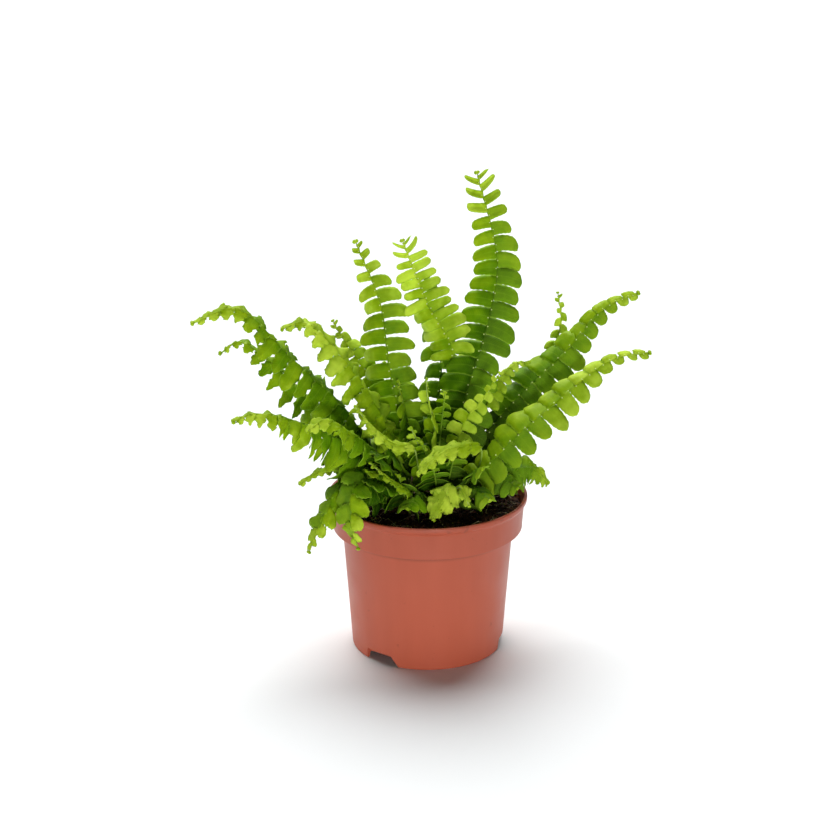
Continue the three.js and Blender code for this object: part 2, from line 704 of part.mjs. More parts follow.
function frondColor(age) {
  return new THREE.Color("#2f5f0c").lerp(new THREE.Color("#a9c92a"), age);
}

const fern = new THREE.Group();
fern.add(namedMesh("pot", toGeometry(makePot()), "#b25e4a", 0.45));
fern.add(namedMesh("soil", toGeometry(makeSoil()), "#1d1512", 0.95));

const taken = new TakenSpace();
FRONDS.forEach((frond, index) => {
  const stem = new Stem(frond);
  for (let along = 0; along <= stem.length; along += CLEARANCE / 2) {
    taken.add(stem.at(along).middle, index);
  }
});
FRONDS.forEach((frond, index) => {
  const mesh = namedMesh(frond.name, makeFrond(frond, index, taken), frondColor(frond.age), 0.5);
  fern.add(mesh);
});

export default fern;
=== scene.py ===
"""A young sword fern in a round plastic nursery pot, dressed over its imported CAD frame.

Lengths are worked out in millimetres and turned to metres as each piece is finished. +Z is up, the origin
is on the floor under the pot's axis, and -Y is the front.
"""

import math
import random

import bmesh
import bpy
import numpy as np
from bpy.props import FloatProperty, FloatVectorProperty, IntProperty, PointerProperty
from mathutils import Matrix, Vector, noise


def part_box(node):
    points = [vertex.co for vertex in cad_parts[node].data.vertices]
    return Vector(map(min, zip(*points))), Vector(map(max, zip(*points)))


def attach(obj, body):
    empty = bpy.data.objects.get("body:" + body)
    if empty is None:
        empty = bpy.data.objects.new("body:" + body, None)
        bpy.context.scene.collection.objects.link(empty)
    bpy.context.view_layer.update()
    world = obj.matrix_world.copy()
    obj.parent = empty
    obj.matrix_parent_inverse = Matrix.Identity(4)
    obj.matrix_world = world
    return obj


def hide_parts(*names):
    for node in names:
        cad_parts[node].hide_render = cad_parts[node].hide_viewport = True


bl_info = {
    "name": "Potted Sword Fern",
    "version": (1, 0, 0),
    "blender": (4, 5, 0),
    "location": "View3D > Sidebar > Fern",
    "description": "Makes a sword fern in a nursery pot, piece by piece, and a pale studio round it",
    "category": "Object",
}

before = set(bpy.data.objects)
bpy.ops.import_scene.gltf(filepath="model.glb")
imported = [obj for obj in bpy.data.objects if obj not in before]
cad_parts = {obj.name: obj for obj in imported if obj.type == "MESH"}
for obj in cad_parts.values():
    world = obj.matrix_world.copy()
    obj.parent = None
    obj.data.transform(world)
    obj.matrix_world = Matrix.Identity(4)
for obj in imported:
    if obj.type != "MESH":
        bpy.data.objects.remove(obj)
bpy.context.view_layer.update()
MM = 0.001


def size_from_frame(node, corner, axis):
    """One coordinate of a CAD node's box in millimetres, at its lowest corner (0) or its highest one (1)."""
    return round(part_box(node)[corner][axis] / MM, 2)


def linear(hex_colour):
    """An sRGB hex colour as linear red, green and blue."""
    shares = [int(hex_colour[i : i + 2], 16) / 255 for i in (1, 3, 5)]
    return tuple(s / 12.92 if s <= 0.04045 else ((s + 0.055) / 1.055) ** 2.4 for s in shares)


# ---- sizes in millimetres, as the frame has them ----
POT_HEIGHT = size_from_frame("pot", 1, 2)
LIP_RADIUS = size_from_frame("pot", 1, 0)
WALL = 1.5
LIP_HEIGHT = 3.0
COLLAR_TOP_RADIUS = LIP_RADIUS - 1.7
COLLAR_BOTTOM_RADIUS = LIP_RADIUS - 2.8
COLLAR_BOTTOM_HEIGHT = POT_HEIGHT - 19.0
BODY_TOP_RADIUS = LIP_RADIUS - 8.4
FOOT_RADIUS = LIP_RADIUS - 14.0
STEP_BOTTOM_HEIGHT = COLLAR_BOTTOM_HEIGHT - 1.5
FLOOR_UNDERSIDE = 4.0
FLOOR_TOP = FLOOR_UNDERSIDE + 1.5
FOOT_RING_WIDTH = 2.4
POT_SIDES = 144

NOTCH_COUNT = 3
FIRST_NOTCH_DEG = 232.6
NOTCH_TOP = 7.0
NOTCH_WIDTH_AT_FLOOR = 24.0
NOTCH_WIDTH_AT_TOP = 19.0
NOTCH_DEPTH = 7.0
NOTCH_CORNER = 1.2

SOIL_LEVEL = 89.5
SOIL_MOUND = 2.5
SOIL_LUMP = 0.7
SOIL_GAP = 0.3
SOIL_RINGS = 56
SOIL_SIDES = 176
CLOD_WIDTH = 6.0
GRAIN_WIDTH = 1.5
LITTER_RADIUS = COLLAR_TOP_RADIUS - 3.5

STEM_WIDTH = 1.8
STEM_ROOT_RADIUS = 0.85
STEM_TIP_RADIUS = 0.3
# The stem of a frond with leaflets this long has its full width at the root; shorter ones are slimmer.
FULL_STEM_REACH = 14.0
SMALL_FROND_STEM = 0.38
STEM_SIDES = 8
STEM_STEP = 4.5
STEM_SUNK = 3.0
SCALES_PER_STEM = 12
SCALY_LENGTH = 14
CLEARANCE = 2.7
RIM_CLEARANCE = 3.0
PEAT_CLEARANCE = 1.5
CURVE_STEPS = 200

# ---- leaflets, as the frame places them ----
FRAME_FILL = 0.84
LEAFLET_SWEEP = 0.16
LEAFLET_SAG = 0.28
SWEEP_CURVE = 1.5
TIP_CROWDING = 1.15
HANG_AT_STEM = 0.7
HANG_PER_MM = 0.045
PLAIN_BELOW = 11.5
SHORTEST_LEAFLET = 2.5
# How luck changes a leaflet's length, from this share up, and its droop in degrees.
LEAST_LENGTH_SHARE, LENGTH_SPREAD = 0.93, 0.14
DROOP_SPREAD = 8
# Corners of a leaflet, as shares of its length and half its width: its widest place and its end.
WAIST = 0.55
END_LOW = (0.96, -0.66)
END_HIGH = (1, 0.7)
# Leaflet length along the leafy part of a frond, as shares of its reach, from the first pair to the tip.
LENGTH_PROFILE = (0.92, 0.98, 1, 0.98, 0.92, 0.8, 0.64, 0.46, 0.28)
# Ways to bend a leaflet clear of its neighbours, tried in order: more droop in degrees, share of length.
BENDS = (
    (0, 1), (14, 1), (-14, 1), (28, 0.9), (-28, 0.9), (0, 0.75), (20, 0.7), (-20, 0.7),
    (42, 0.7), (-42, 0.7), (0, 0.5), (30, 0.5), (-30, 0.5),
)  # fmt: skip

# ---- leaflets, as they look ----
# Where the rows of a leaflet's mesh lie, as shares of its length from the stem, and how far its edge towards
# the frond's tip and its edge towards the frond's foot stand out there, as shares of half the spacing: on an
# upright frond, where it bends down to a corner, and on an arching one, where the lower row hangs as lobes
# and the upper row stands up as square tiles that lie over one another.
LEAFLET_ROWS = (0, 0.05, 0.12, 0.21, 0.31, 0.42, 0.53, 0.64, 0.74, 0.83, 0.91, 0.965, 1)
SICKLE_TIPWARD = (0.85, 1.04, 1.12, 1.13, 1.12, 1.09, 1.04, 0.97, 0.88, 0.77, 0.61, 0.42, 0.1)
SICKLE_FOOTWARD = (0.72, 0.88, 0.86, 0.83, 0.82, 0.82, 0.84, 0.87, 0.9, 0.92, 0.92, 0.87, 0.7)
LOBE_TIPWARD = (0.9, 1.07, 1.1, 1.08, 1.05, 1.02, 0.99, 0.95, 0.89, 0.8, 0.65, 0.46, 0.16)
LOBE_FOOTWARD = (0.8, 0.99, 1.02, 1, 0.98, 0.95, 0.92, 0.88, 0.82, 0.74, 0.61, 0.44, 0.17)
TILE_TIPWARD = (0.9, 1.1, 1.2, 1.26, 1.28, 1.28, 1.26, 1.23, 1.18, 1.09, 0.95, 0.77, 0.5)
TILE_FOOTWARD = (0.8, 0.94, 0.95, 0.94, 0.94, 0.95, 0.98, 1.02, 1.06, 1.08, 1.05, 0.97, 0.8)
# Lift off the blade across a leaflet, as shares of its half width: a groove between two low swells.
CROSS_SECTION = (-0.1, 0.05, -0.04, 0.05, -0.1)
LEAFLET_COLUMNS = len(CROSS_SECTION) - 1
# Where each trait of a leaflet begins and where it is full: how steeply the stem climbs, how steeply the
# leaflet rises from it, its share of the way to the frond's tip, and the frond's frill.
UPRIGHT_RISE = (0.6, 0.92)
RAISED_LIFT = (0.1, 0.5)
FOLDED_SHARE, FOLDED_RISE = (0.72, 1.0), (0.3, 0.9)
PLUMP_SHARE, PLUMP_FRILL = (0.7, 1), (0.5, 0.2)
JOINED_FRILL, RAGGED_FRILL = (0.7, 1.0), (0.5, 0.8)
# How much longer and wider each trait makes a leaflet, as shares, and how much luck changes it.
LONGER_IN_CROWN, LONGER_IF_PLUMP, LONGER_IF_RAGGED, LENGTH_LUCK = 0.22, 0.5, 0.13, 0.14
WIDER_IN_CROWN, WIDER_IF_RAISED, WIDTH_LUCK = 0.12, 0.12, 0.12
WIDER_IF_UPRIGHT, LESS_TO_THE_TIP = 0.08, 0.18
NARROWER_IF_FOLDED = 0.45
# The most that half a short leaflet's width can be: a share of its length, and some millimetres more.
HALF_WIDTH_SHARE, HALF_WIDTH_MORE = 0.56, 1.1
# How far luck leans, hangs and twists a leaflet: on a smooth frond and on a frilled one.
LEAN_LUCK, TWIST_LUCK, DROOP_LUCK = (0.15, 0.45), (0.4, 1.3), math.radians(22)
CALMER_IF_JOINED, CALMER_IF_RAISED = 0.8, 0.6
LEAN_IF_FOLDED, LEAN_IF_UPRIGHT, FOLD_DEPTH = 0.75, 0.05, 0.9
# The depth of its teeth and waves, as shares of its half width: on a smooth frond and on a frilled one.
TEETH, WAVES = (0.02, 0.1), (0.04, 0.24)
# How deep ragged leaflets are cut, and how much narrower than others ragged and joined ones end, as shares.
CUT_IF_RAGGED, POINTED_IF_RAGGED, POINTED_IF_JOINED = 0.24, 0.5, 0.35
# Frilled fronds also wave as a whole, crest by crest along the stem.
CREST_HEIGHT, CREST_SPACING = 0.2, 11.0
# How high a leaflet arches, as a share of its length, and how much it curls down at its end, by luck.
ARCH_HEIGHT, CURL_PER_MM = 0.05, (0.004, 0.012)
# Spare leaflets, which fill the crown where the frame leaves gaps: how close they come to the others.
SPARE_CLEARANCE = 1.2
SPARE_BENDS = (
    (0, 1), (20, 0.95), (-20, 0.95), (45, 0.9), (-45, 0.85), (0, 0.7), (60, 0.7), (30, 0.6), (-30, 0.6),
    (0, 0.45),
)  # fmt: skip
# Leaflets at a frond's foot: how high they begin, their spacing against the first pair's, how each one down
# is shorter and lies further from the leafy part, as shares, and how far luck hangs them, in degrees. Fronds
# that are this frilled, or bare for this share of the stem, have none.
FOOT_FROM_PEAT = 9.0
FOOT_SPACING = 1.15
FOOT_LENGTH, FOOT_SHORTENING, FOOT_STEP = 0.85, 0.07, 0.12
FOOT_SHORTEST = 4
FOOT_DROOP_SPREAD = 40
BARE_FOOT_FRILL, BARE_FOOT_SHARE = 0.85, 0.4
# Fronds whose leaflets are at least this long show a pale joint at the foot of each leaflet: how pale, on
# the scale on which a new frond's stem is 1.
SHOWS_JOINTS = 14.5
JOINT_PALENESS = 1.3
JOINT_RADIUS = 0.55
# The ages from which a frond counts as green, and no longer dark, and as pale.
GREEN_FROM_AGE, PALE_FROM_AGE = 0.33, 0.72
# Tones on the scale from 0 shaded to 1 new: a grown leaflet's, how much paler a frond is at its tip, and how
# much painted shade darkens its foot leaflets for each share of its leafy length that they lie below the
# first pair.
GROWN_TONE, TIP_PALENESS, FOOT_SHADE = 0.2, 0.9, 0.45
# Painted shade: how much darker leaflets are deep in the crown, and where the crown is: its height and its
# radius.
CROWN_SHADE = 0.36
CROWN_TOP, CROWN_CORE_TOP = 152, 108
CROWN_RADIUS, CROWN_CORE_RADIUS = 68, 48

# Each frond: its name, where its stem stands on the peat and the places along it up to its tip, how many
# pairs of leaflets, the longest leaflet, how early they shorten towards the tip, the bare share of the stem,
# the blade's roll about its stem and the leaflets' droop in degrees, its age from 0 grown to 1 new, how
# frilled its leaflets are, from 0 flat and smooth to 1 toothed, waved and joined at their feet, and how wide
# they are as a share of their spacing.
FROND_KEYS = ("name", "route", "pairs", "reach", "taper", "bare", "roll", "droop", "age", "frill", "width")
FRONDS = (
    ("tall_centre", ((10, 8), (22, 12, 150), (36, 24, 196), (41, 34, 234), (29, 42, 283)),
     18, 17, 0.65, 0.1, 29, 6, 0.08, 0.04, 1.04),
    ("right_high", ((14, 3), (43, 14, 138), (80, 29, 172), (106, 39, 199), (128, 45, 208)),
     14, 16, 1.8, 0.13, 42, 12, 0.15, 0.12, 1.02),
    ("right_low", ((17, -7), (43, -20, 129), (78, -9, 158), (108, 3, 178), (132, 9, 181)),
     13, 15.5, 2, 0.09, 42, 12, 0.52, 0.12, 0.98),
    ("left_high", ((-13, -6), (-48, -16, 152), (-79, -26, 188), (-107, -33, 219), (-134, -36, 212)),
     17, 16, 1.4, 0.13, -32, 30, 0.25, 0.7, 1.02),
    ("left_middle", ((-14, 1), (-42, 3, 131), (-70, 6, 152), (-107, 12, 185), (-124, 14, 179)),
     14, 15.5, 1.6, 0.15, -25, 34, 0.15, 0.8, 0.92),
    ("left_light", ((-7, -6), (-29, -14, 152), (-54, -14, 190), (-71, -12, 205), (-85, -10, 201)),
     14, 15, 1.2, 0.15, -32, 28, 0.6, 0.8, 1.15),
    ("upright_left", ((-6, 6), (-22, 10, 167), (-28, 20, 207), (-43, 30, 244)),
     13, 19.5, 1.3, 0.2, -57, 16, 0.45, 0.1, 0.92),
    ("left_low", ((-13, -12), (-48, -34, 138), (-76, -50, 158), (-98, -58, 165), (-110, -62, 162)),
     16, 18, 1.3, 0.12, -20, 42, 0.28, 0.8, 1),
    ("light_upright", ((6, 14), (15, 19, 150), (14, 17, 182), (0, 14, 210), (-15, 8, 250)),
     12, 15.5, 0.7, 0.5, -106, 14, 0.75, 0.1, 0.95),
    ("dark_upright", ((-2, 12), (6, 20, 146), (8, 27, 170), (5, 33, 192), (-3, 40, 222)),
     9, 15, 1, 0.24, 0, 30, 0.12, 0.1, 0.84),
    ("left_front", ((-8, -15), (-31, -38, 135), (-47, -54, 154), (-58, -62, 163), (-68, -68, 158)),
     12, 13, 1, 0.14, -25, 30, 0.26, 0.7, 1.1),
    ("light_centre", ((8, -8), (20, -16, 142), (31, -20, 160), (42, -20, 178)),
     8, 8.5, 1.6, 0.3, 88, 14, 0.8, 0.15, 0.8),
    ("drooping_left", ((-16, -16), (-32, -30, 114), (-50, -43, 117), (-60, -53, 101), (-69, -56, 80)),
     7, 12.5, 1.4, 0.26, -25, 22, 0.32, 0.58, 1.08),
    ("drooping_front", ((-9, -19), (-28, -40, 118), (-42, -55, 119), (-44, -62, 103), (-40, -63, 85)),
     6, 12, 1, 0.3, 0, 16, 0.3, 0.46, 1.12),
    ("bright_front",
     ((20, -12), (31, -22, 124), (29, -33, 138), (19, -41, 140), (7, -46, 137), (-6, -52, 126)),
     6, 7, 1, 0.56, -25, 30, 0.85, 1, 1.3),
    ("bright_low", ((5, -20), (12, -36, 114), (10, -46, 111), (3, -51, 98)),
     5, 11.5, 1, 0.34, 0, 25, 1, 1, 1.35),
    ("bright_low_right", ((10, -20), (18, -38, 114), (24, -50, 106)),
     4, 8, 1, 0.34, 0, 25, 0.95, 0.9, 1.3),
    ("pale_young",
     ((-2, -14), (-6, -26, 124), (-9, -34, 137), (-20, -41, 142), (-31, -45, 152), (-42, -48, 167)),
     7, 6.5, 1, 0.5, -30, 40, 1, 1, 1.35),
    ("right_over_rim", ((20, 0), (36, -2, 103), (50, -2, 110), (62, 0, 111), (73, 2, 101)),
     10, 11, 1, 0.3, 40, 20, 0.35, 1, 1.3),
    ("dark_front_right", ((14, -18), (24, -34, 112), (36, -46, 108)),
     6, 14, 1, 0.16, 20, 35, 0.15, 0.1, 1.05),
    ("dark_low_left", ((-17, -8), (-36, -24, 117), (-56, -33, 124)),
     7, 13, 1, 0.16, -20, 24, 0.1, 0.12, 1.05),
    ("low_front_left", ((-22, -13), (-38, -28, 109), (-51, -30, 108)),
     6, 12, 1, 0.2, -10, 20, 0.05, 0.12, 1.05),
    ("low_front", ((0, -23), (-4, -38, 110), (-12, -49, 104)),
     6, 12, 1, 0.2, 0, 20, 0.1, 0.1, 1.05),
    ("dark_centre", ((4, -15), (5, -29, 110), (3, -37, 126)),
     6, 12, 1, 0.2, 0, 20, 0.1, 0.1, 1.05),
    ("low_right", ((23.5, -4.5), (38, -18, 113), (53, -26, 108)),
     7, 12, 1, 0.18, 20, 20, 0.1, 0.1, 1.05),
    ("small_centre", ((2, -7), (4, -18, 142), (0, -20, 161), (-1, -22, 175)),
     5, 9.5, 1, 0.36, -60, 14, 0.65, 0.1, 0.9),
    ("round_centre", ((-3, -9), (-4, -20, 127), (-10, -28, 147)),
     6, 8, 1, 0.28, 0, 15, 0.6, 0.3, 0.95),
    ("curly_left", ((-4, -20), (-10, -40, 110), (-22, -47, 122), (-34, -49, 133)),
     7, 5, 1, 0.36, -30, 35, 0.6, 0.9, 1.2),
    ("thin_left", ((-18, 5), (-34, 1, 111), (-51, -3, 115), (-64, -6, 112), (-77, -8, 104)),
     9, 5, 1.2, 0.4, -20, 30, 0.6, 0.9, 1.3),
    ("right_small_upright", ((16, 11), (48, 32, 128), (72, 49, 158), (82, 58, 184), (80, 62, 204)),
     9, 6.5, 1.3, 0.5, 50, 10, 0.75, 0.2, 0.85),
    ("fine_right", ((15, 7), (38, 18, 149), (50, 26, 167), (62, 30, 169)),
     8, 7, 1, 0.55, 10, 40, 0.8, 0.6, 1.1),
    ("left_small", ((-12, 10), (-30, 24, 148), (-43, 34, 170), (-53, 44, 182), (-58, 48, 190)),
     9, 9, 1.6, 0.45, -50, 10, 0.7, 0.3, 0.9),
    ("back_middle", ((0, 18), (2, 36, 128), (4, 54, 134), (7, 69, 114)),
     9, 14, 1, 0.14, 0, 20, 0.3, 0.3, 1.05),
    ("back_right", ((9, 17), (26, 38, 138), (42, 54, 144), (58, 66, 126)),
     10, 13, 1, 0.16, 0, 20, 0.35, 0.3, 1.05),
    ("back_left", ((-9, 16), (-26, 36, 138), (-42, 52, 145), (-58, 64, 128)),
     10, 13, 1, 0.16, 0, 20, 0.35, 0.4, 1.05),
    ("back_far_right", ((17, 15), (40, 30, 124), (60, 42, 136), (78, 52, 134)),
     10, 12, 1, 0.2, 10, 25, 0.4, 0.3, 1.05),
    ("back_far_left", ((-17, 12), (-42, 26, 124), (-66, 38, 132), (-84, 46, 118)),
     10, 13, 1, 0.18, -10, 25, 0.35, 0.5, 1.05),
    ("back_upright_right", ((6, 22), (16, 36, 148), (23, 50, 166), (28, 60, 170)),
     10, 12, 1, 0.24, 0, 20, 0.4, 0.2, 0.9),
    ("back_upright_left", ((-5, 21), (-14, 36, 144), (-21, 50, 159), (-27, 60, 159)),
     10, 12, 1, 0.24, 0, 20, 0.45, 0.3, 0.9),
    ("back_low_right", ((12, 21), (28, 44, 112), (38, 58, 107), (45, 68, 92)),
     8, 11, 1, 0.2, 0, 20, 0.5, 0.5, 1.05),
    ("back_low_left", ((-13, 20), (-26, 44, 112), (-36, 58, 107), (-43, 68, 92)),
     8, 11, 1, 0.2, 0, 20, 0.5, 0.5, 1.05),
    ("crown_front_left", ((-14, -18), (-24, -34, 118), (-36, -44, 126)),
     6, 10, 1, 0.2, -20, 24, 0.12, 0.12, 1.05),
    ("crown_front", ((6, -10), (1, -22, 122), (-4, -32, 139)),
     6, 13, 1, 0.24, -30, 30, 0.2, 0.12, 1.05),
    ("crown_front_right", ((15.5, -13), (25, -30, 118), (32, -41, 126)),
     6, 11, 1, 0.2, 30, 22, 0.1, 0.2, 1.05),
    ("crown_left", ((-10, -3), (-22, -14, 128), (-34, -24, 142)),
     6, 11, 1, 0.24, -30, 20, 0.15, 0.12, 1.05),
    ("crown_low_middle", ((9.5, -15.5), (13, -24, 116), (16, -28, 132)),
     6, 12, 1, 0.24, 0, 20, 0.15, 0.1, 1.05),
    ("crown_middle", ((4, 2), (8, -6, 140), (10, -14, 164)),
     7, 9, 1, 0.34, -30, 16, 0.2, 0.2, 0.9),
    ("crown_back_left", ((-4, 9), (-12, 6, 136), (-18, 2, 166)),
     7, 10, 1, 0.32, -30, 16, 0.2, 0.2, 0.9),
    ("low_centre_left", ((-10, -25), (-14, -36, 109), (-17, -41, 122)),
     5, 11, 1, 0.2, 0, 24, 0.15, 0.1, 1.05),
    ("low_far_right", ((22, 6), (37, 15, 110), (50, 22, 110)),
     6, 10, 1, 0.24, 10, 24, 0.15, 0.4, 1.05),
)  # fmt: skip


# ---- colours that no setting changes ----
# The peat dust's colour also paints the shade in the corner under the pot's collar.
PEAT_DUST_AND_SHADE = "#5A342A"
LEAF_UNDERSIDE = "#8DB03C"
LEAF_WAX = "#E2FF60"
LIGHT_THROUGH_LEAF = "#C8E020"
YOUNG_STALK = "#D6E884"


# ======== settings that a user would change ========


def colour_property(name, hex_colour, description):
    return FloatVectorProperty(
        name=name, description=description, default=linear(hex_colour), subtype="COLOR", size=3, min=0, max=1
    )


def length_property(name, millimetres, description, least=0):
    return FloatProperty(
        name=name, description=description, default=millimetres * MM, min=least * MM, unit="LENGTH"
    )


def count_property(name, count, description):
    return IntProperty(name=name, description=description, default=count, min=0)


class PotSettings(bpy.types.PropertyGroup):
    wall: length_property("Wall", WALL, "Thickness of the moulded wall", least=0.8)
    corner: length_property("Corner", 0.9, "Rounding of the moulded edges", least=0.2)
    # Painted light and shade: the plastic is darker at the collar and lighter at the foot, against the light
    # there.
    plastic: colour_property("Plastic", "#A84E36", "Colour of the pot's plastic at its collar")
    flow: colour_property("Foot plastic", "#CB654A", "Colour of the plastic at the pot's foot")


class PeatSettings(bpy.types.PropertyGroup):
    roughness: length_property("Crumb height", 1.5, "How far the peat's crumbs stand up")
    crumbs: count_property("Crumbs", 900, "How many loose crumbs lie on the peat")
    fibres: count_property("Root fibres", 150, "How many root fibres show")
    chips: count_property("Bark chips", 22, "How many bark chips lie on the peat")
    perlite: count_property("Perlite", 16, "How many perlite grains show")
    damp: colour_property("Damp peat", "#2A170E", "Colour of the damp peat")
    dry: colour_property("Dry peat", "#7C4C30", "Colour of the drier crumbs")


class FoliageSettings(bpy.types.PropertyGroup):
    thickness: length_property("Leaflet thickness", 0.3, "Thickness of a leaflet")
    fill: FloatProperty(
        name="Leaflet width", description="Leaflet width as a share of the leaflets' spacing",
        default=1.0, min=0.3, max=1.4, subtype="FACTOR",
    )  # fmt: skip
    tilt: FloatProperty(
        name="Overlap tilt", description="How far each leaflet is tipped, so that it lies over the next",
        default=math.radians(7), unit="ROTATION", subtype="ANGLE",
    )  # fmt: skip
    # Painted shade: leaflets take this colour where they are darkened deep in the crown and at a frond's
    # foot.
    shaded: colour_property("Shaded leaf", "#183D04", "Colour of the oldest leaflets, deep in the crown")
    grown: colour_property("Grown leaf", "#2F6004", "Colour of the grown leaflets")
    mid: colour_property("Middle leaf", "#6B9A06", "Colour of the leaflets between")
    fresh: colour_property("Fresh leaf", "#A0C016", "Colour of the young leaflets")
    new: colour_property("New leaf", "#D8F04C", "Colour of the newest leaflets")
    margin: colour_property("Margin", "#B2DC40", "Colour of a leaflet's thin pale edge")
    stem: colour_property("Stem", "#7CA022", "Colour of the stems' upper part")
    stem_foot: colour_property("Stem foot", "#3F3A16", "Colour of the stems' lower end")


class StudioSettings(bpy.types.PropertyGroup):
    floor: length_property("Floor", 60000, "Side of the square floor")
    sky: FloatProperty(name="Surround", description="Strength of the white surround", default=0.06, min=0)
    key: FloatProperty(
        name="Overhead light", description="Strength of the overhead light", default=4.7, min=0
    )
    fill: FloatProperty(name="Front light", description="Strength of the front light", default=1.6, min=0)
    paint: colour_property("Floor paint", "#EEF1F2", "Colour of the floor")


# ======== making pieces ========


def finish_piece(name, bm, materials, replaces=(), smooth=True):
    """Turns a mesh made in millimetres into a piece in metres that stands for the CAD nodes named."""
    mesh = bpy.data.meshes.new(name)
    bm.to_mesh(mesh)
    bm.free()
    mesh.transform(Matrix.Scale(MM, 4))
    mesh.shade_smooth() if smooth else mesh.shade_flat()
    for material in materials:
        mesh.materials.append(material)
    piece = bpy.data.objects.new(name, mesh)
    bpy.context.scene.collection.objects.link(piece)
    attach(piece, "root")
    if replaces:
        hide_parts(*replaces)
    return piece


def add_node(tree, kind, inputs=None, **settings):
    """Adds a shader node to a tree, sets it, and fills its inputs with values, with other nodes' outputs or
    with whole nodes, each of which stands for the first output that it has in use."""
    node = tree.nodes.new("ShaderNode" + kind)
    for setting, value in settings.items():
        setattr(node, setting, value)
    for socket, value in (inputs or {}).items():
        if isinstance(value, bpy.types.Node):
            value = next(output for output in value.outputs if output.enabled)
        if isinstance(value, bpy.types.NodeSocket):
            tree.links.new(value, node.inputs[socket])
        else:
            node.inputs[socket].default_value = value
    return node


def new_material(name):
    """An empty node material, its node tree, and the object coordinates on which its patterns lie."""
    material = bpy.data.materials.new(name)
    material.use_nodes = True
    tree = material.node_tree
    tree.nodes.clear()
    return material, tree, add_node(tree, "TexCoord").outputs["Object"]


def scale_of(size_mm):
    """The scale that gives a pattern on object coordinates its real size in millimetres."""
    return 1 / (size_mm * MM)


def opaque(colour):
    """A colour with full alpha, as a colour socket takes it."""
    return (*colour[:3], 1.0)


def smoothstep(low, high, value):
    """0 up to the low value, 1 from the high one on and a smooth rise between. Low may be the larger."""
    share = min(1.0, max(0.0, (value - low) / (high - low)))
    return share * share * (3 - 2 * share)


def lerp(values, share):
    """The value at a share from 0 to 1 along a list of evenly spaced values."""
    place = share * (len(values) - 1)
    low = min(int(place), len(values) - 2)
    return values[low] + (values[low + 1] - values[low]) * (place - low)


def blend3(base, second, second_share, third, third_share):
    """A value moved from a base towards a second and a third value."""
    return base + (second - base) * second_share + (third - base) * third_share


def draw(a, b):
    """A repeatable draw from 0 to 1 for the two numbers given."""
    wave = math.sin(a * 12.9898 + b * 78.233) * 43758.5453
    return wave - math.floor(wave)


def mark_hard_edges(bm, angle_deg):
    """Keeps the edges that turn by more than an angle crisp under smooth shading."""
    limit = math.radians(angle_deg)
    for edge in bm.edges:
        edge.smooth = not edge.is_manifold or edge.calc_face_angle() < limit


# ======== pot ========


def filleted(corners, steps=5):
    """A profile through (radius, height, fillet) corners, each corner rounded off by its fillet."""
    points = []
    for i, (radius, height, fillet) in enumerate(corners):
        here = Vector((radius, height))
        if fillet == 0 or i in (0, len(corners) - 1):
            points.append(here)
            continue
        before, after = Vector(corners[i - 1][:2]), Vector(corners[i + 1][:2])
        start = here + (before - here).normalized() * fillet
        end = here + (after - here).normalized() * fillet
        for step in range(steps + 1):
            t = step / steps
            points.append(start * (1 - t) ** 2 + here * 2 * t * (1 - t) + end * t**2)
    return points


def spin_profile(bm, points, sides):
    """Turns a profile that starts and ends on the Z axis into a closed shell."""
    verts = [bm.verts.new((point.x, 0, point.y)) for point in points]
    edges = [bm.edges.new(pair) for pair in zip(verts, verts[1:])]
    bmesh.ops.spin(
        bm, geom=verts + edges, cent=(0, 0, 0), axis=(0, 0, 1), angle=math.tau, steps=sides, use_merge=True
    )
    bmesh.ops.remove_doubles(bm, verts=bm.verts, dist=0.001)
    bmesh.ops.recalc_face_normals(bm, faces=bm.faces)


def inner_radius_at(height, wall):
    slope = (BODY_TOP_RADIUS - FOOT_RADIUS) / COLLAR_BOTTOM_HEIGHT
    return FOOT_RADIUS + slope * height - wall


def pot_profile(wall, corner):
    """The moulded wall from the middle of the underside, out and up to the lip, and back down inside."""
    lip_bottom = POT_HEIGHT - LIP_HEIGHT
    return filleted(
        [
            (0, FLOOR_UNDERSIDE, 0),
            (20, FLOOR_UNDERSIDE + 0.15, 0),
            (FOOT_RADIUS - FOOT_RING_WIDTH - 0.2, FLOOR_UNDERSIDE, 0.6),
            (FOOT_RADIUS - FOOT_RING_WIDTH + 0.2, 0, 0.5),
            (FOOT_RADIUS, 0, corner),
            (BODY_TOP_RADIUS - 0.1, STEP_BOTTOM_HEIGHT, 0.3),
            (COLLAR_BOTTOM_RADIUS, STEP_BOTTOM_HEIGHT + 0.35, 0.4),
            (COLLAR_BOTTOM_RADIUS + 0.1, COLLAR_BOTTOM_HEIGHT + 2.2, 0.8),
            (COLLAR_TOP_RADIUS, lip_bottom - 1.5, 1.2),
            (LIP_RADIUS, lip_bottom + 0.1, corner),
            (LIP_RADIUS, POT_HEIGHT, corner),
            (LIP_RADIUS - 1.9, POT_HEIGHT, 0.6),
            (COLLAR_TOP_RADIUS - wall, lip_bottom - 1, 1.2),
            (COLLAR_BOTTOM_RADIUS - wall, COLLAR_BOTTOM_HEIGHT + 2, 1.5),
            (inner_radius_at(STEP_BOTTOM_HEIGHT, wall), STEP_BOTTOM_HEIGHT, 1.5),
            (inner_radius_at(FLOOR_TOP, wall), FLOOR_TOP, 1.5),
            (0, FLOOR_TOP, 0),
        ]
    )


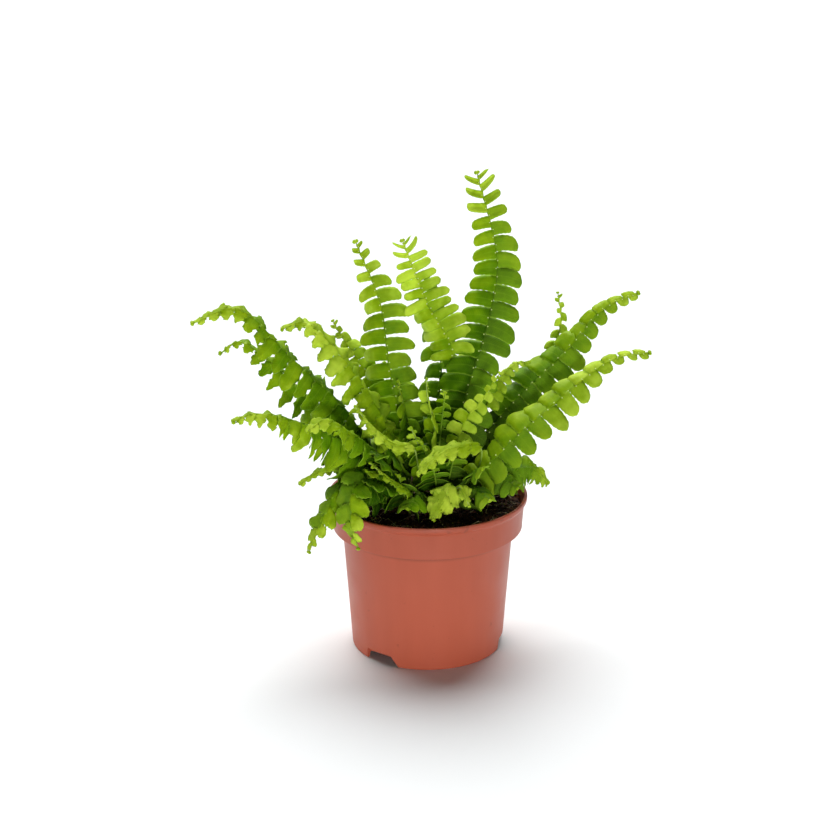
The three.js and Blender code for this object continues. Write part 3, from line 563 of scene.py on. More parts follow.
def notch_cutter(bm, number):
    """A block through the foot that has one upright side and one slanted side, seen from outside."""
    half, below = NOTCH_WIDTH_AT_FLOOR / 2, -2
    outline = (
        (-half, below), (half + 1.5, below), (NOTCH_WIDTH_AT_TOP - half, NOTCH_TOP), (1 - half, NOTCH_TOP)
    )  # fmt: skip
    near = -(FOOT_RADIUS - NOTCH_DEPTH + 3)
    face = bm.faces.new([bm.verts.new((x, near, z)) for x, z in outline])
    far_side = bmesh.ops.extrude_face_region(bm, geom=[face])["geom"]
    far_verts = [v for v in far_side if isinstance(v, bmesh.types.BMVert)]
    bmesh.ops.translate(bm, vec=(0, -NOTCH_DEPTH, 0), verts=far_verts)
    upper = [e for e in bm.edges if all(v.co.z > NOTCH_TOP - 0.1 for v in e.verts)]
    through = [e for e in upper if abs(e.verts[0].co.y - e.verts[1].co.y) > 1]
    bmesh.ops.bevel(
        bm, geom=through, offset=NOTCH_CORNER, segments=4, profile=0.5, affect="EDGES", material=-1
    )
    turn = math.radians(FIRST_NOTCH_DEG + 360 / NOTCH_COUNT * number + 90)
    bmesh.ops.rotate(bm, cent=(0, 0, 0), matrix=Matrix.Rotation(turn, 3, "Z"), verts=bm.verts)
    bmesh.ops.recalc_face_normals(bm, faces=bm.faces)


def cut_out(bm, cutters):
    """The mesh less the cutters' meshes, by Boolean modifiers that are applied here."""
    scene = bpy.context.scene
    helpers = []
    for part in [bm, *cutters]:
        mesh = bpy.data.meshes.new("cutting")
        part.to_mesh(mesh)
        part.free()
        helpers.append(bpy.data.objects.new("cutting", mesh))
        scene.collection.objects.link(helpers[-1])
    whole = helpers[0]
    for cutter in helpers[1:]:
        cut = whole.modifiers.new("cut", "BOOLEAN")
        cut.operation, cut.solver, cut.object = "DIFFERENCE", "EXACT", cutter
    result = bmesh.new()
    result.from_object(whole, bpy.context.evaluated_depsgraph_get())
    for helper in helpers:
        mesh = helper.data
        bpy.data.objects.remove(helper)
        bpy.data.meshes.remove(mesh)
    return result


def moulded_polypropylene(settings):
    """Injection-moulded polypropylene, coloured through: satin and slightly waxy, with faint flow marks that
    run up the wall, a fine leathery grain from the mould, and a little peat dust on the lip. Painted light
    and shade make it darker at the collar and lighter towards the foot, and painted shade lies as a dark
    line in the corner under the collar."""
    material, tree, place = new_material("moulded_polypropylene")
    # Painted light and shade: the plastic turns from the darker collar colour at the rim to the lighter foot
    # colour.
    flow_size = (scale_of(11), scale_of(11), scale_of(90))
    flow_space = add_node(tree, "Mapping", {"Vector": place, "Scale": flow_size})
    flow = add_node(tree, "TexNoise", {"Vector": flow_space, "Scale": 1.0, "Detail": 3.0})
    height = add_node(tree, "SeparateXYZ", {"Vector": place}).outputs["Z"]
    foot_light_share = add_node(
        tree, "MapRange", {"Value": height, "From Max": POT_HEIGHT * MM, "To Min": 0.82, "To Max": -0.18}
    )
    flow_and_foot_light = add_node(
        tree, "Math", {0: flow, 1: 0.4, 2: foot_light_share}, operation="MULTIPLY_ADD", use_clamp=True
    )
    plastic = add_node(
        tree, "Mix",
        {"Factor": flow_and_foot_light, "A": opaque(settings.plastic), "B": opaque(settings.flow)}, data_type="RGBA",
    )  # fmt: skip
    # Peat dust: blotches about 5 mm wide, thickest on the lip and gone 12 mm below it.
    blotches = add_node(tree, "TexNoise", {"Vector": place, "Scale": scale_of(5), "Detail": 6.0})
    near_rim = add_node(
        tree, "MapRange",
        {"Value": height, "From Min": (POT_HEIGHT - 12) * MM, "From Max": POT_HEIGHT * MM, "To Max": 0.16},
    )  # fmt: skip
    dusty = add_node(tree, "Math", {0: blotches, 1: near_rim}, operation="ADD")
    dust = add_node(tree, "MapRange", {"Value": dusty, "From Min": 0.69, "From Max": 0.86, "To Max": 0.55})
    # Painted shade: a dark line in the corner under the collar that tapers off below it, in the dust's
    # colour.
    collar_shade = add_node(
        tree, "MapRange",
        {"Value": height, "From Min": (STEP_BOTTOM_HEIGHT - 4.4) * MM,
         "From Max": (STEP_BOTTOM_HEIGHT - 1.2) * MM, "To Max": 0.5},
        interpolation_type="SMOOTHSTEP",
    )  # fmt: skip
    below_collar = add_node(
        tree, "Math", {0: height, 1: (STEP_BOTTOM_HEIGHT + 0.5) * MM}, operation="LESS_THAN"
    )
    corner = add_node(tree, "Math", {0: collar_shade, 1: below_collar}, operation="MULTIPLY")
    # The lip's dust and the painted shade under the collar darken the plastic together.
    dust_and_collar_shade = add_node(tree, "Math", {0: dust, 1: corner}, operation="MAXIMUM")
    colour = add_node(
        tree, "Mix", {"Factor": dust_and_collar_shade, "A": plastic, "B": opaque(linear(PEAT_DUST_AND_SHADE))}, data_type="RGBA"
    )
    # The mould's grain is about 0.5 mm; scuffs are longer and change only the gloss.
    grain = add_node(tree, "TexNoise", {"Vector": place, "Scale": scale_of(0.5), "Detail": 2.0})
    scuffs = add_node(tree, "TexNoise", {"Vector": place, "Scale": scale_of(20), "Detail": 8.0})
    roughness = add_node(
        tree, "MapRange", {"Value": scuffs, "From Min": 0.3, "From Max": 0.7, "To Min": 0.36, "To Max": 0.5}
    )
    bump = add_node(tree, "Bump", {"Height": grain, "Strength": 0.25, "Distance": 0.05 * MM})
    skin = add_node(
        tree, "BsdfPrincipled",
        {"Base Color": colour, "Roughness": roughness, "Normal": bump, "IOR": 1.49,
         "Specular IOR Level": 0.35},
    )  # fmt: skip
    add_node(tree, "OutputMaterial", {"Surface": skin})
    return material


class FERN_OT_make_pot(bpy.types.Operator):
    """Make the nursery pot: a turned plastic shell with a flared lip, a deep collar and drain notches"""

    bl_idname = "fern.make_pot"
    bl_label = "Pot"

    def execute(self, context):
        settings = context.scene.fern_pot
        shell = bmesh.new()
        spin_profile(shell, pot_profile(settings.wall / MM, settings.corner / MM), POT_SIDES)
        cutters = []
        for number in range(NOTCH_COUNT):
            cutter = bmesh.new()
            notch_cutter(cutter, number)
            cutters.append(cutter)
        pot = cut_out(shell, cutters)
        mark_hard_edges(pot, 40)
        finish_piece("nursery_pot", pot, [moulded_polypropylene(settings)], ["pot"])
        return {"FINISHED"}


# ======== peat ========


def soil_height(x, y):
    """The peat's surface, as the frame has it."""
    from_axis = math.hypot(x, y) / COLLAR_TOP_RADIUS
    lumps = math.sin(x * 0.31 + 1) * math.cos(y * 0.27) + 0.6 * math.sin(x * 0.13 - y * 0.21)
    return SOIL_LEVEL + SOIL_MOUND * (1 - from_axis**2) + SOIL_LUMP * lumps


def crumbled_height(x, y, roughness):
    """The peat's surface with its crumbs: wide clods and fine grains."""
    clods = noise.turbulence((x / CLOD_WIDTH, y / CLOD_WIDTH, 0.5), 3, False)
    grains = noise.noise((x / GRAIN_WIDTH, y / GRAIN_WIDTH, 4.2))
    return soil_height(x, y) + roughness * (1.5 * (clods - 0.6) + 0.55 * grains)


def peat_material(settings):
    """Damp sphagnum peat: near-black crumbs with dry reddish-brown edges, dull, soft and full of holes."""
    material, tree, place = new_material("damp_sphagnum_peat")
    crumbs = add_node(tree, "TexVoronoi", {"Vector": place, "Scale": scale_of(1.6)})
    damp = add_node(tree, "TexNoise", {"Vector": place, "Scale": scale_of(7), "Detail": 6.0})
    dryness = add_node(tree, "MapRange", {"Value": damp, "From Min": 0.45, "From Max": 0.75})
    colour = add_node(
        tree, "Mix",
        {"Factor": dryness, "A": opaque(settings.damp), "B": opaque(settings.dry)}, data_type="RGBA",
    )  # fmt: skip
    bump = add_node(tree, "Bump", {"Height": crumbs, "Strength": 0.9, "Distance": 0.6 * MM})
    crumb = add_node(
        tree, "BsdfPrincipled", {"Base Color": colour, "Roughness": 0.92, "Normal": bump, "IOR": 1.45}
    )
    add_node(tree, "OutputMaterial", {"Surface": crumb})
    return material


def mottled_material(name, low, high, grain_mm, roughness, bump_mm, stretch=(1, 1, 1)):
    """A dull natural material whose colour and relief vary over grains of a given size."""
    material, tree, place = new_material(name)
    sizes = [scale_of(grain_mm * axis) for axis in stretch]
    space = add_node(tree, "Mapping", {"Vector": place, "Scale": sizes})
    grain = add_node(tree, "TexNoise", {"Vector": space, "Scale": 1.0, "Detail": 4.0})
    share = add_node(tree, "MapRange", {"Value": grain, "From Min": 0.35, "From Max": 0.65})
    colour = add_node(
        tree, "Mix",
        {"Factor": share, "A": opaque(linear(low)), "B": opaque(linear(high))}, data_type="RGBA",
    )  # fmt: skip
    bump = add_node(tree, "Bump", {"Height": grain, "Strength": 0.7, "Distance": bump_mm * MM})
    surface = add_node(
        tree, "BsdfPrincipled", {"Base Color": colour, "Roughness": roughness, "Normal": bump}
    )
    add_node(tree, "OutputMaterial", {"Surface": surface})
    return material


class FERN_OT_make_peat(bpy.types.Operator):
    """Make the peat that fills the pot, with a crumbled top"""

    bl_idname = "fern.make_peat"
    bl_label = "Peat"

    def execute(self, context):
        settings = context.scene.fern_peat
        bottom = FLOOR_TOP + SOIL_GAP
        top_radius = COLLAR_TOP_RADIUS - WALL - SOIL_GAP - 0.2
        corners = [
            (0, bottom),
            (inner_radius_at(bottom, WALL) - SOIL_GAP, bottom),
            (inner_radius_at(STEP_BOTTOM_HEIGHT, WALL) - SOIL_GAP, STEP_BOTTOM_HEIGHT),
            (COLLAR_BOTTOM_RADIUS - WALL - SOIL_GAP, COLLAR_BOTTOM_HEIGHT + 2.4),
        ]
        corners += [(top_radius * (1 - ring / SOIL_RINGS), SOIL_LEVEL) for ring in range(SOIL_RINGS + 1)]
        peat = bmesh.new()
        spin_profile(peat, [Vector(corner) for corner in corners], SOIL_SIDES)
        for vert in peat.verts:
            if vert.co.z > SOIL_LEVEL - 1:
                vert.co.z = crumbled_height(vert.co.x, vert.co.y, settings.roughness / MM)
        finish_piece("peat", peat, [peat_material(settings)], ["soil"])
        return {"FINISHED"}


def place_on_peat(rng, lift):
    """A random place on the peat, turned at random, as a matrix."""
    angle, from_axis = rng.uniform(0, math.tau), LITTER_RADIUS * math.sqrt(rng.random())
    x, y = from_axis * math.cos(angle), from_axis * math.sin(angle)
    height = soil_height(x, y) + lift
    turn = Matrix.Rotation(rng.uniform(0, math.tau), 4, "Z")
    tip = Matrix.Rotation(rng.uniform(-0.5, 0.5), 4, "X")
    return Matrix.Translation((x, y, height)) @ turn @ tip


def add_lump(bm, place, size, ragged):
    """One small lump of about twenty faces: a squashed ball whose corners are pushed in and out."""
    made = bmesh.ops.create_icosphere(bm, subdivisions=1, radius=0.5)["verts"]
    for vert in made:
        vert.co *= 1 + ragged * noise.noise(vert.co * 3 + place.translation)
    bmesh.ops.scale(bm, vec=size, verts=made)
    bmesh.ops.transform(bm, matrix=place, verts=made)


def add_tube(bm, middles, radii, sides):
    """A closed tube through the places given, by extruding a ring from each place to the next."""
    made = bmesh.ops.create_circle(bm, cap_ends=True, radius=1, segments=sides)["verts"]
    loop = [edge for edge in bm.edges if all(vert in set(made) for vert in edge.verts)]
    ring = made
    here = Matrix.Identity(4)
    all_verts = list(made)
    for i, (middle, radius) in enumerate(zip(middles, radii)):
        ahead = middles[min(i + 1, len(middles) - 1)] - middles[max(i - 1, 0)]
        there = Matrix.LocRotScale(middle, ahead.to_track_quat("Z", "Y"), (radius, radius, radius))
        if i:
            grown = bmesh.ops.extrude_edge_only(bm, edges=loop)["geom"]
            ring = [item for item in grown if isinstance(item, bmesh.types.BMVert)]
            loop = [item for item in grown if isinstance(item, bmesh.types.BMEdge)]
            all_verts += ring
        bmesh.ops.transform(bm, matrix=there @ here.inverted(), verts=ring)
        here = there
    bmesh.ops.edgeloop_fill(bm, edges=loop)
    return all_verts


def add_fibre(bm, rng, place, length, radius):
    """A fine root that wanders over the peat and dips into it at both ends."""
    steps, sunk = 6, 0.4
    points, heading = [place.translation.copy()], rng.uniform(0, math.tau)
    for _ in range(steps):
        heading += rng.uniform(-0.7, 0.7)
        points.append(points[-1] + Vector((math.cos(heading), math.sin(heading), 0)) * length / steps)
    for i, point in enumerate(points):
        lift = math.sin(math.pi * i / steps) * rng.uniform(0.5, 2.2)
        point.z = soil_height(point.x, point.y) - sunk + lift
    inside = [point for point in points if math.hypot(point.x, point.y) < LITTER_RADIUS]
    if len(inside) > 2:
        add_tube(bm, inside, [radius] * len(inside), 4)


class FERN_OT_make_litter(bpy.types.Operator):
    """Make what lies loose on the peat: crumbs, bark chips, perlite grains and fine roots"""

    bl_idname = "fern.make_litter"
    bl_label = "Peat litter"

    def execute(self, context):
        settings = context.scene.fern_peat
        rng = random.Random(11)
        crumbs = bmesh.new()
        for _ in range(settings.crumbs):
            size = rng.uniform(0.7, 1.75) ** 2
            squash = (size, size * rng.uniform(0.6, 1), size * rng.uniform(0.4, 0.8))
            add_lump(crumbs, place_on_peat(rng, 0.25 * size), squash, 0.8)
        finish_piece("peat_crumbs", crumbs, [peat_material(settings)], smooth=False)

        chips = bmesh.new()
        for _ in range(settings.chips):
            size = (rng.uniform(2.5, 5.5), rng.uniform(1.2, 2.4), rng.uniform(0.6, 1.1))
            add_lump(chips, place_on_peat(rng, 0.6), size, 1.2)
        bark = mottled_material("composted_pine_bark", "#2A1710", "#7A5238", 0.9, 0.8, 0.3, (3, 1, 1))
        finish_piece("bark_chips", chips, [bark], smooth=False)

        grains = bmesh.new()
        for _ in range(settings.perlite):
            size = rng.uniform(0.8, 1.8)
            add_lump(grains, place_on_peat(rng, 0.4), (size, size * 0.8, size * 0.7), 0.7)
        perlite = mottled_material("expanded_perlite", "#B5ADA0", "#E6E1D8", 0.4, 0.85, 0.15)
        finish_piece("perlite_grains", grains, [perlite])

        fibres = bmesh.new()
        for _ in range(settings.fibres):
            add_fibre(fibres, rng, place_on_peat(rng, 0), rng.uniform(6, 19), rng.uniform(0.18, 0.46))
        root = mottled_material("fine_root", "#8E7454", "#E2D3B6", 0.8, 0.7, 0.05)
        finish_piece("root_fibres", fibres, [root])
        return {"FINISHED"}


# ======== fronds ========


class Stem:
    """The stem's middle line, a Catmull-Rom curve, and the directions across its blade and out of it."""

    def __init__(self, frond):
        (x, y), *places = frond["route"]
        points = np.array([(x, y, soil_height(x, y)), *places], float)
        self.controls = np.array([2 * points[0] - points[1], *points, 2 * points[-1] - points[-2]])
        steps = self.point(np.linspace(0, 1, CURVE_STEPS + 1))
        self.lengths = np.concatenate([[0], np.cumsum(np.linalg.norm(np.diff(steps, axis=0), axis=1))])
        self.length = self.lengths[-1]
        outward = math.atan2(points[-1][1] - y, points[-1][0] - x)
        self.side = np.array((-math.sin(outward), math.cos(outward), 0))
        self.roll = math.radians(frond["roll"])

    def point(self, t):
        """Points at curve parameters t, an array from 0 to 1."""
        spans = len(self.controls) - 3
        span = np.minimum((t * spans).astype(int), spans - 1)
        w = (t * spans - span)[:, None]
        before, a, b, after = (self.controls[span + i] for i in range(4))
        slope_a, slope_b = (b - before) / 2, (after - a) / 2
        square = 3 * (b - a) - 2 * slope_a - slope_b
        return a + slope_a * w + square * w**2 + (2 * (a - b) + slope_a + slope_b) * w**3

    def rise(self, along):
        """How steeply the stem climbs at a distance along it: 0 is level and 1 is upright."""
        _, across, out = self.at([along])
        return np.cross(across[0], out[0])[2]

    def at(self, along):
        """The middle, across and out vectors at distances along the stem, negative ones in the peat."""
        along = np.asarray(along, float)
        target = np.clip(along, 0, self.length)
        t = np.interp(target, self.lengths, np.linspace(0, 1, CURVE_STEPS + 1))
        middle = self.point(t)
        delta = 0.0001
        forward = self.point(np.minimum(t + delta, 1)) - self.point(np.maximum(t - delta, 0))
        forward /= np.linalg.norm(forward, axis=1)[:, None]
        in_peat = along <= 0
        middle[in_peat, 2] += along[in_peat]
        forward[in_peat] = (0, 0, 1)
        flat = self.side - forward * (forward @ self.side)[:, None]
        flat /= np.linalg.norm(flat, axis=1)[:, None]
        across = flat * math.cos(self.roll) + np.cross(forward, flat) * math.sin(self.roll)
        return middle, across, np.cross(forward, across)


def blade_points(stem, along, sideways, droop, lift=0.0):
    """Points of the blade: along the stem, sideways from its middle (positive is the left half), with the
    half blade hanging by droop radians, and lifted off the blade."""
    middle, across, out = stem.at(along)
    sideways = np.asarray(sideways, float)
    hand = np.sign(sideways)
    half = np.minimum(np.abs(sideways), STEM_WIDTH / 2)
    beyond = np.abs(sideways) - half
    hang = droop * (HANG_AT_STEM + HANG_PER_MM * beyond)
    reach_out = hand * (half + beyond * np.cos(hang) + lift * np.sin(hang))
    reach_up = lift * np.cos(hang) - beyond * np.sin(hang)
    return middle + across * reach_out[:, None] + out * reach_up[:, None]


def stations(frond, stem):
    """Distances along the stem where the leaflets of its left and right side begin."""
    leafy = stem.length * (1 - frond["bare"])
    shares = np.arange(frond["pairs"] + 1) / (frond["pairs"] + 0.5)
    left = stem.length - leafy * (1 - shares) ** TIP_CROWDING
    right = (left + np.append(left[1:], stem.length)) / 2
    return {1: left, -1: right}


def leaflet_sweep(stem, along):
    """How far a leaflet's end lies towards the frond's tip, as a share of its length: it leans forward on a
    level stem and sags back on a climbing one."""
    return LEAFLET_SWEEP - LEAFLET_SAG * stem.rise(along)


def frame_samples(stem, start, end, hand, length, droop):
    """Points spread over the CAD leaflet between two stations."""
    middle, pitch, root = (start + end) / 2, end - start, STEM_WIDTH / 2
    sweep = length * leaflet_sweep(stem, middle)

    def place(reach, breadth):
        along = middle + breadth * pitch * FRAME_FILL / 2 + sweep * reach**SWEEP_CURVE
        return np.array((along, hand * (root + length * reach)))

    root_low, root_high = np.array((start, hand * root)), np.array((end, hand * root))
    end_low, end_high = place(*END_LOW), place(*END_HIGH)
    if length < PLAIN_BELOW:
        panels, steps = [(root_low, end_low, end_high, root_high)], 4
    else:
        waist_low, waist_high = place(WAIST, -1), place(WAIST, 1)
        heel, tip = (root_low, waist_low, waist_high, root_high), (waist_low, end_low, end_high, waist_high)
        panels, steps = [heel, tip], 3
    samples = []
    for near_low, far_low, far_high, near_high in panels:
        for step in range(1, steps + 1):
            low = near_low + (far_low - near_low) * step / steps
            high = near_high + (far_high - near_high) * step / steps
            samples += [low + (high - low) * between for between in (0, 0.33, 0.67, 1)]
    samples = np.array(samples)
    return blade_points(stem, samples[:, 0], samples[:, 1], droop).tolist()


class TakenSpace:
    """Places already taken by stems and leaflets, kept in a coarse grid of cubes."""

    def __init__(self):
        self.cubes = {}

    def add(self, point, owner):
        key = tuple(math.floor(c / CLEARANCE) for c in point)
        self.cubes.setdefault(key, []).append((*point, owner))

    def is_near(self, point, owner, clearance):
        """True if another owner's point is nearer than the clearance, which is at most a cube's side."""
        x, y, z = point
        i, j, k = (math.floor(c / CLEARANCE) for c in point)
        near = clearance**2
        for a in (i - 1, i, i + 1):
            for b in (j - 1, j, j + 1):
                for c in (k - 1, k, k + 1):
                    for px, py, pz, who in self.cubes.get((a, b, c), ()):
                        if who != owner and (px - x) ** 2 + (py - y) ** 2 + (pz - z) ** 2 < near:
                            return True
        return False


def in_pot(point):
    """True in the peat, in the pot or close to its rim."""
    x, y, z = point
    from_axis = math.hypot(x, y)
    if from_axis > LIP_RADIUS + RIM_CLEARANCE:
        return False
    if from_axis > COLLAR_TOP_RADIUS - RIM_CLEARANCE:
        return z < POT_HEIGHT + RIM_CLEARANCE
    return z < soil_height(x, y) + PEAT_CLEARANCE


def bend_clear(taken, index, stem, leaflet, bends, clearance):
    """The leaflet with the first of the bends that keeps the frame's sample points of it clear of all the
    others, as a list of one, with its space taken. The list is empty if no bend does."""
    start, end, hand, length, droop, share, luck = leaflet
    for more, kept in bends:
        bent = math.radians(droop + more)
        samples = frame_samples(stem, start, end, hand, length * kept, bent)
        if any(in_pot(point) or taken.is_near(point, index, clearance) for point in samples):
            continue
        for point in samples:
            taken.add(point, index)
        return [(start, end, hand, length * kept, bent, share, luck)]
    return []


def frame_leaflets(frond, index, sides):
    """The leaflets that the frame tries to place on a frond, pair by pair."""
    leaflets = []
    for i in range(frond["pairs"]):
        for hand in (1, -1):
            luck = draw(index + 1, 2 * i + (hand + 1) // 2)
            share = i / (frond["pairs"] - 1)
            shape = lerp(LENGTH_PROFILE, share) ** frond["taper"]
            length = frond["reach"] * shape * (LEAST_LENGTH_SHARE + LENGTH_SPREAD * luck)
            length = max(SHORTEST_LEAFLET, length)
            droop = frond["droop"] + DROOP_SPREAD * (luck - 0.5)
            leaflets.append((sides[hand][i], sides[hand][i + 1], hand, length, droop, share, luck))
    return leaflets


def foot_leaflets(frond, index, sides):
    """Smaller leaflets below the frond's first pair, down to just above the peat."""
    if frond["frill"] > BARE_FOOT_FRILL or frond["bare"] >= BARE_FOOT_SHARE:
        return []
    leaflets = []
    for hand in (1, -1):
        pitch = FOOT_SPACING * (sides[hand][1] - sides[hand][0])
        end, number = sides[hand][0], 1
        while end - pitch > FOOT_FROM_PEAT:
            luck = draw(index + 60, 2 * number + (hand + 1) // 2)
            length = frond["reach"] * (FOOT_LENGTH - FOOT_SHORTENING * number) * (0.8 + 0.3 * luck)
            length = max(FOOT_SHORTEST, length)
            droop = frond["droop"] + FOOT_DROOP_SPREAD * (luck - 0.4)
            leaflets.append((end - pitch, end, hand, length, droop, -FOOT_STEP * number, luck))
            end, number = end - pitch, number + 1
    return leaflets


def plan_leaflets(fronds, stems):
    """For each frond, the leaflets that grow on it. The frame's own come first, then spare ones where the
    frame found no room and down the bare foot of the stem. Each is bent clear of the others at points of the
    frame's plain leaflets only, so the fuller ones that show still cross here and there, low in the crown."""
    taken = TakenSpace()
    for index, stem in enumerate(stems):
        for point in stem.at(np.arange(0, stem.length, CLEARANCE / 2))[0].tolist():
            taken.add(point, index)
    plans, spares = [], []
    for index, (frond, stem) in enumerate(zip(fronds, stems)):
        plan, spare = [], []
        sides = stations(frond, stem)
        for leaflet in frame_leaflets(frond, index, sides):
            bent = bend_clear(taken, index, stem, leaflet, BENDS, CLEARANCE)
            plan += bent
            spare += [] if bent else [leaflet]
        plans.append(plan)
        spares.append(spare + foot_leaflets(frond, index, sides))
    for index, (stem, plan, spare) in enumerate(zip(stems, plans, spares)):
        for leaflet in spare:
            plan += bend_clear(taken, index, stem, leaflet, SPARE_BENDS, SPARE_CLEARANCE)
    return plans


class Leaflet:
    """One leaflet: its size, how it leans, hangs and frills, and where each point of its blade lies."""

    def __init__(self, mesh, start, end, hand, length, droop, share, luck):
        frond, stem, frill = mesh.frond, mesh.stem, mesh.frond["frill"]
        self.hand, self.luck, self.middle = hand, luck, (start + end) / 2
        lucks = [draw(luck * 91 + number, 3 + number) - 0.5 for number in range(5)]
        place, across, _ = (vectors[0] for vectors in stem.at([self.middle]))
        rise, crowded = stem.rise(self.middle), mesh.crown_depth(place)
        self.joined = smoothstep(*JOINED_FRILL, frill)
        ragged = smoothstep(*RAGGED_FRILL, frill) * (1 - self.joined)
        self.upright = smoothstep(*UPRIGHT_RISE, rise)
        self.raised = smoothstep(*RAISED_LIFT, hand * across[2]) * (1 - self.upright)
        folded = smoothstep(*FOLDED_SHARE, share) * smoothstep(*FOLDED_RISE, rise)
        plump = smoothstep(*PLUMP_SHARE, share) * smoothstep(*PLUMP_FRILL, frill) * (1 - self.upright)
        calm = (1 - CALMER_IF_JOINED * self.joined) * (1 - CALMER_IF_RAISED * self.raised)

        length *= (1 + LENGTH_LUCK * lucks[0]) * (1 + LONGER_IN_CROWN * crowded)
        length *= (1 + LONGER_IF_PLUMP * plump) * (1 + LONGER_IF_RAGGED * ragged)
        width_share = mesh.settings.fill * frond["width"] * (1 + WIDTH_LUCK * lucks[1])
        wider = (WIDER_IF_UPRIGHT - LESS_TO_THE_TIP * share) * self.upright
        width_share *= (1 + WIDER_IN_CROWN * crowded) * (1 + wider)
        widest = HALF_WIDTH_SHARE * length + HALF_WIDTH_MORE
        half = min((end - start) / 2 * width_share, widest) * (1 - NARROWER_IF_FOLDED * folded)
        self.length, self.half = length, half * (1 + WIDER_IF_RAISED * self.raised)

        unruly = (1 - self.joined) * (1 + 1.5 * crowded)
        lean = LEAN_IF_FOLDED * folded + lerp(LEAN_LUCK, frill) * lucks[2] * unruly
        lean += leaflet_sweep(stem, self.middle) + LEAN_IF_UPRIGHT * self.upright
        self.sweep = length * lean
        self.droop = droop + DROOP_LUCK * lucks[3] * (1 + frill) * calm * (1 + crowded)
        twist = lerp(TWIST_LUCK, frill) * lucks[0] * (1 - CALMER_IF_RAISED * self.raised)
        overlap = math.tan(mesh.settings.tilt) * (1 + lucks[4])
        self.tilt = (overlap + twist) * (1 - CALMER_IF_JOINED * self.joined)
        self.fold = FOLD_DEPTH * folded
        self.teeth, self.wave = lerp(TEETH, frill), self.half * lerp(WAVES, frill)
        self.cut, self.pointing = CUT_IF_RAGGED * ragged, (POINTED_IF_RAGGED + 0.4 * lucks[4]) * ragged
        self.crest = CREST_HEIGHT * frill * length
        self.heel = STEM_ROOT_RADIUS - 0.5 * max(share, 0) + 0.12
        self.curl = lerp(CURL_PER_MM, lucks[1] + 0.5)

    def place(self, row, breadth):
        """Where a point of the blade lies: along the stem, sideways from it and lifted off the blade. Rows
        count from the stem, and breadth runs from -1 at the footward edge to 1 at the tipward one."""
        reach, half = LEAFLET_ROWS[row], self.half
        column = round((breadth + 1) / 2 * LEAFLET_COLUMNS)
        tipward = blend3(
            LOBE_TIPWARD[row], SICKLE_TIPWARD[row], self.upright, TILE_TIPWARD[row], self.raised
        )
        footward = blend3(
            LOBE_FOOTWARD[row], SICKLE_FOOTWARD[row], self.upright, TILE_FOOTWARD[row], self.raised
        )
        tooth = 1 + self.teeth * (1 if row % 2 else -1) * smoothstep(0.08, 0.2, reach)
        lobed = math.sin(14 * reach + 9 * self.luck + breadth) * smoothstep(0.1, 0.3, reach)
        end = smoothstep(0.4, 1, reach)
        pointed = (1 - POINTED_IF_JOINED * self.joined * end) * (1 - self.pointing * end)
        width = half * (tipward + footward) / 2 * tooth * (1 + self.cut * lobed) * pointed
        bowed = half * (tipward - footward) / 2
        along = self.middle + bowed + breadth * width + self.sweep * reach**SWEEP_CURVE
        bulge = 0.05 * (1 - breadth**2) * smoothstep(0.6, 1, reach)
        heel_start = -0.35 * (1 + breadth) * (1 - reach)
        sideways = self.hand * (heel_start + self.length * (reach + bulge))

        crease = (CROSS_SECTION[column] + self.fold * abs(breadth)) * width * smoothstep(0, 0.2, reach)
        ripple = math.sin(reach * 13 + 40 * self.luck + 1.5 * breadth) * smoothstep(0.05, 0.35, reach)
        wave = self.wave * breadth * abs(breadth) * ripple
        turn = -breadth * width * self.tilt * (0.4 + reach)
        crest = math.sin(math.tau * along / CREST_SPACING + self.hand) * smoothstep(0.1, 0.9, reach)
        arch = ARCH_HEIGHT * self.length * math.sin(math.pi * reach) - self.curl * (self.length * reach) ** 2
        heel = self.heel * smoothstep(0.22, 0, reach)
        return along, sideways, crease + wave + turn + self.crest * crest + arch + heel


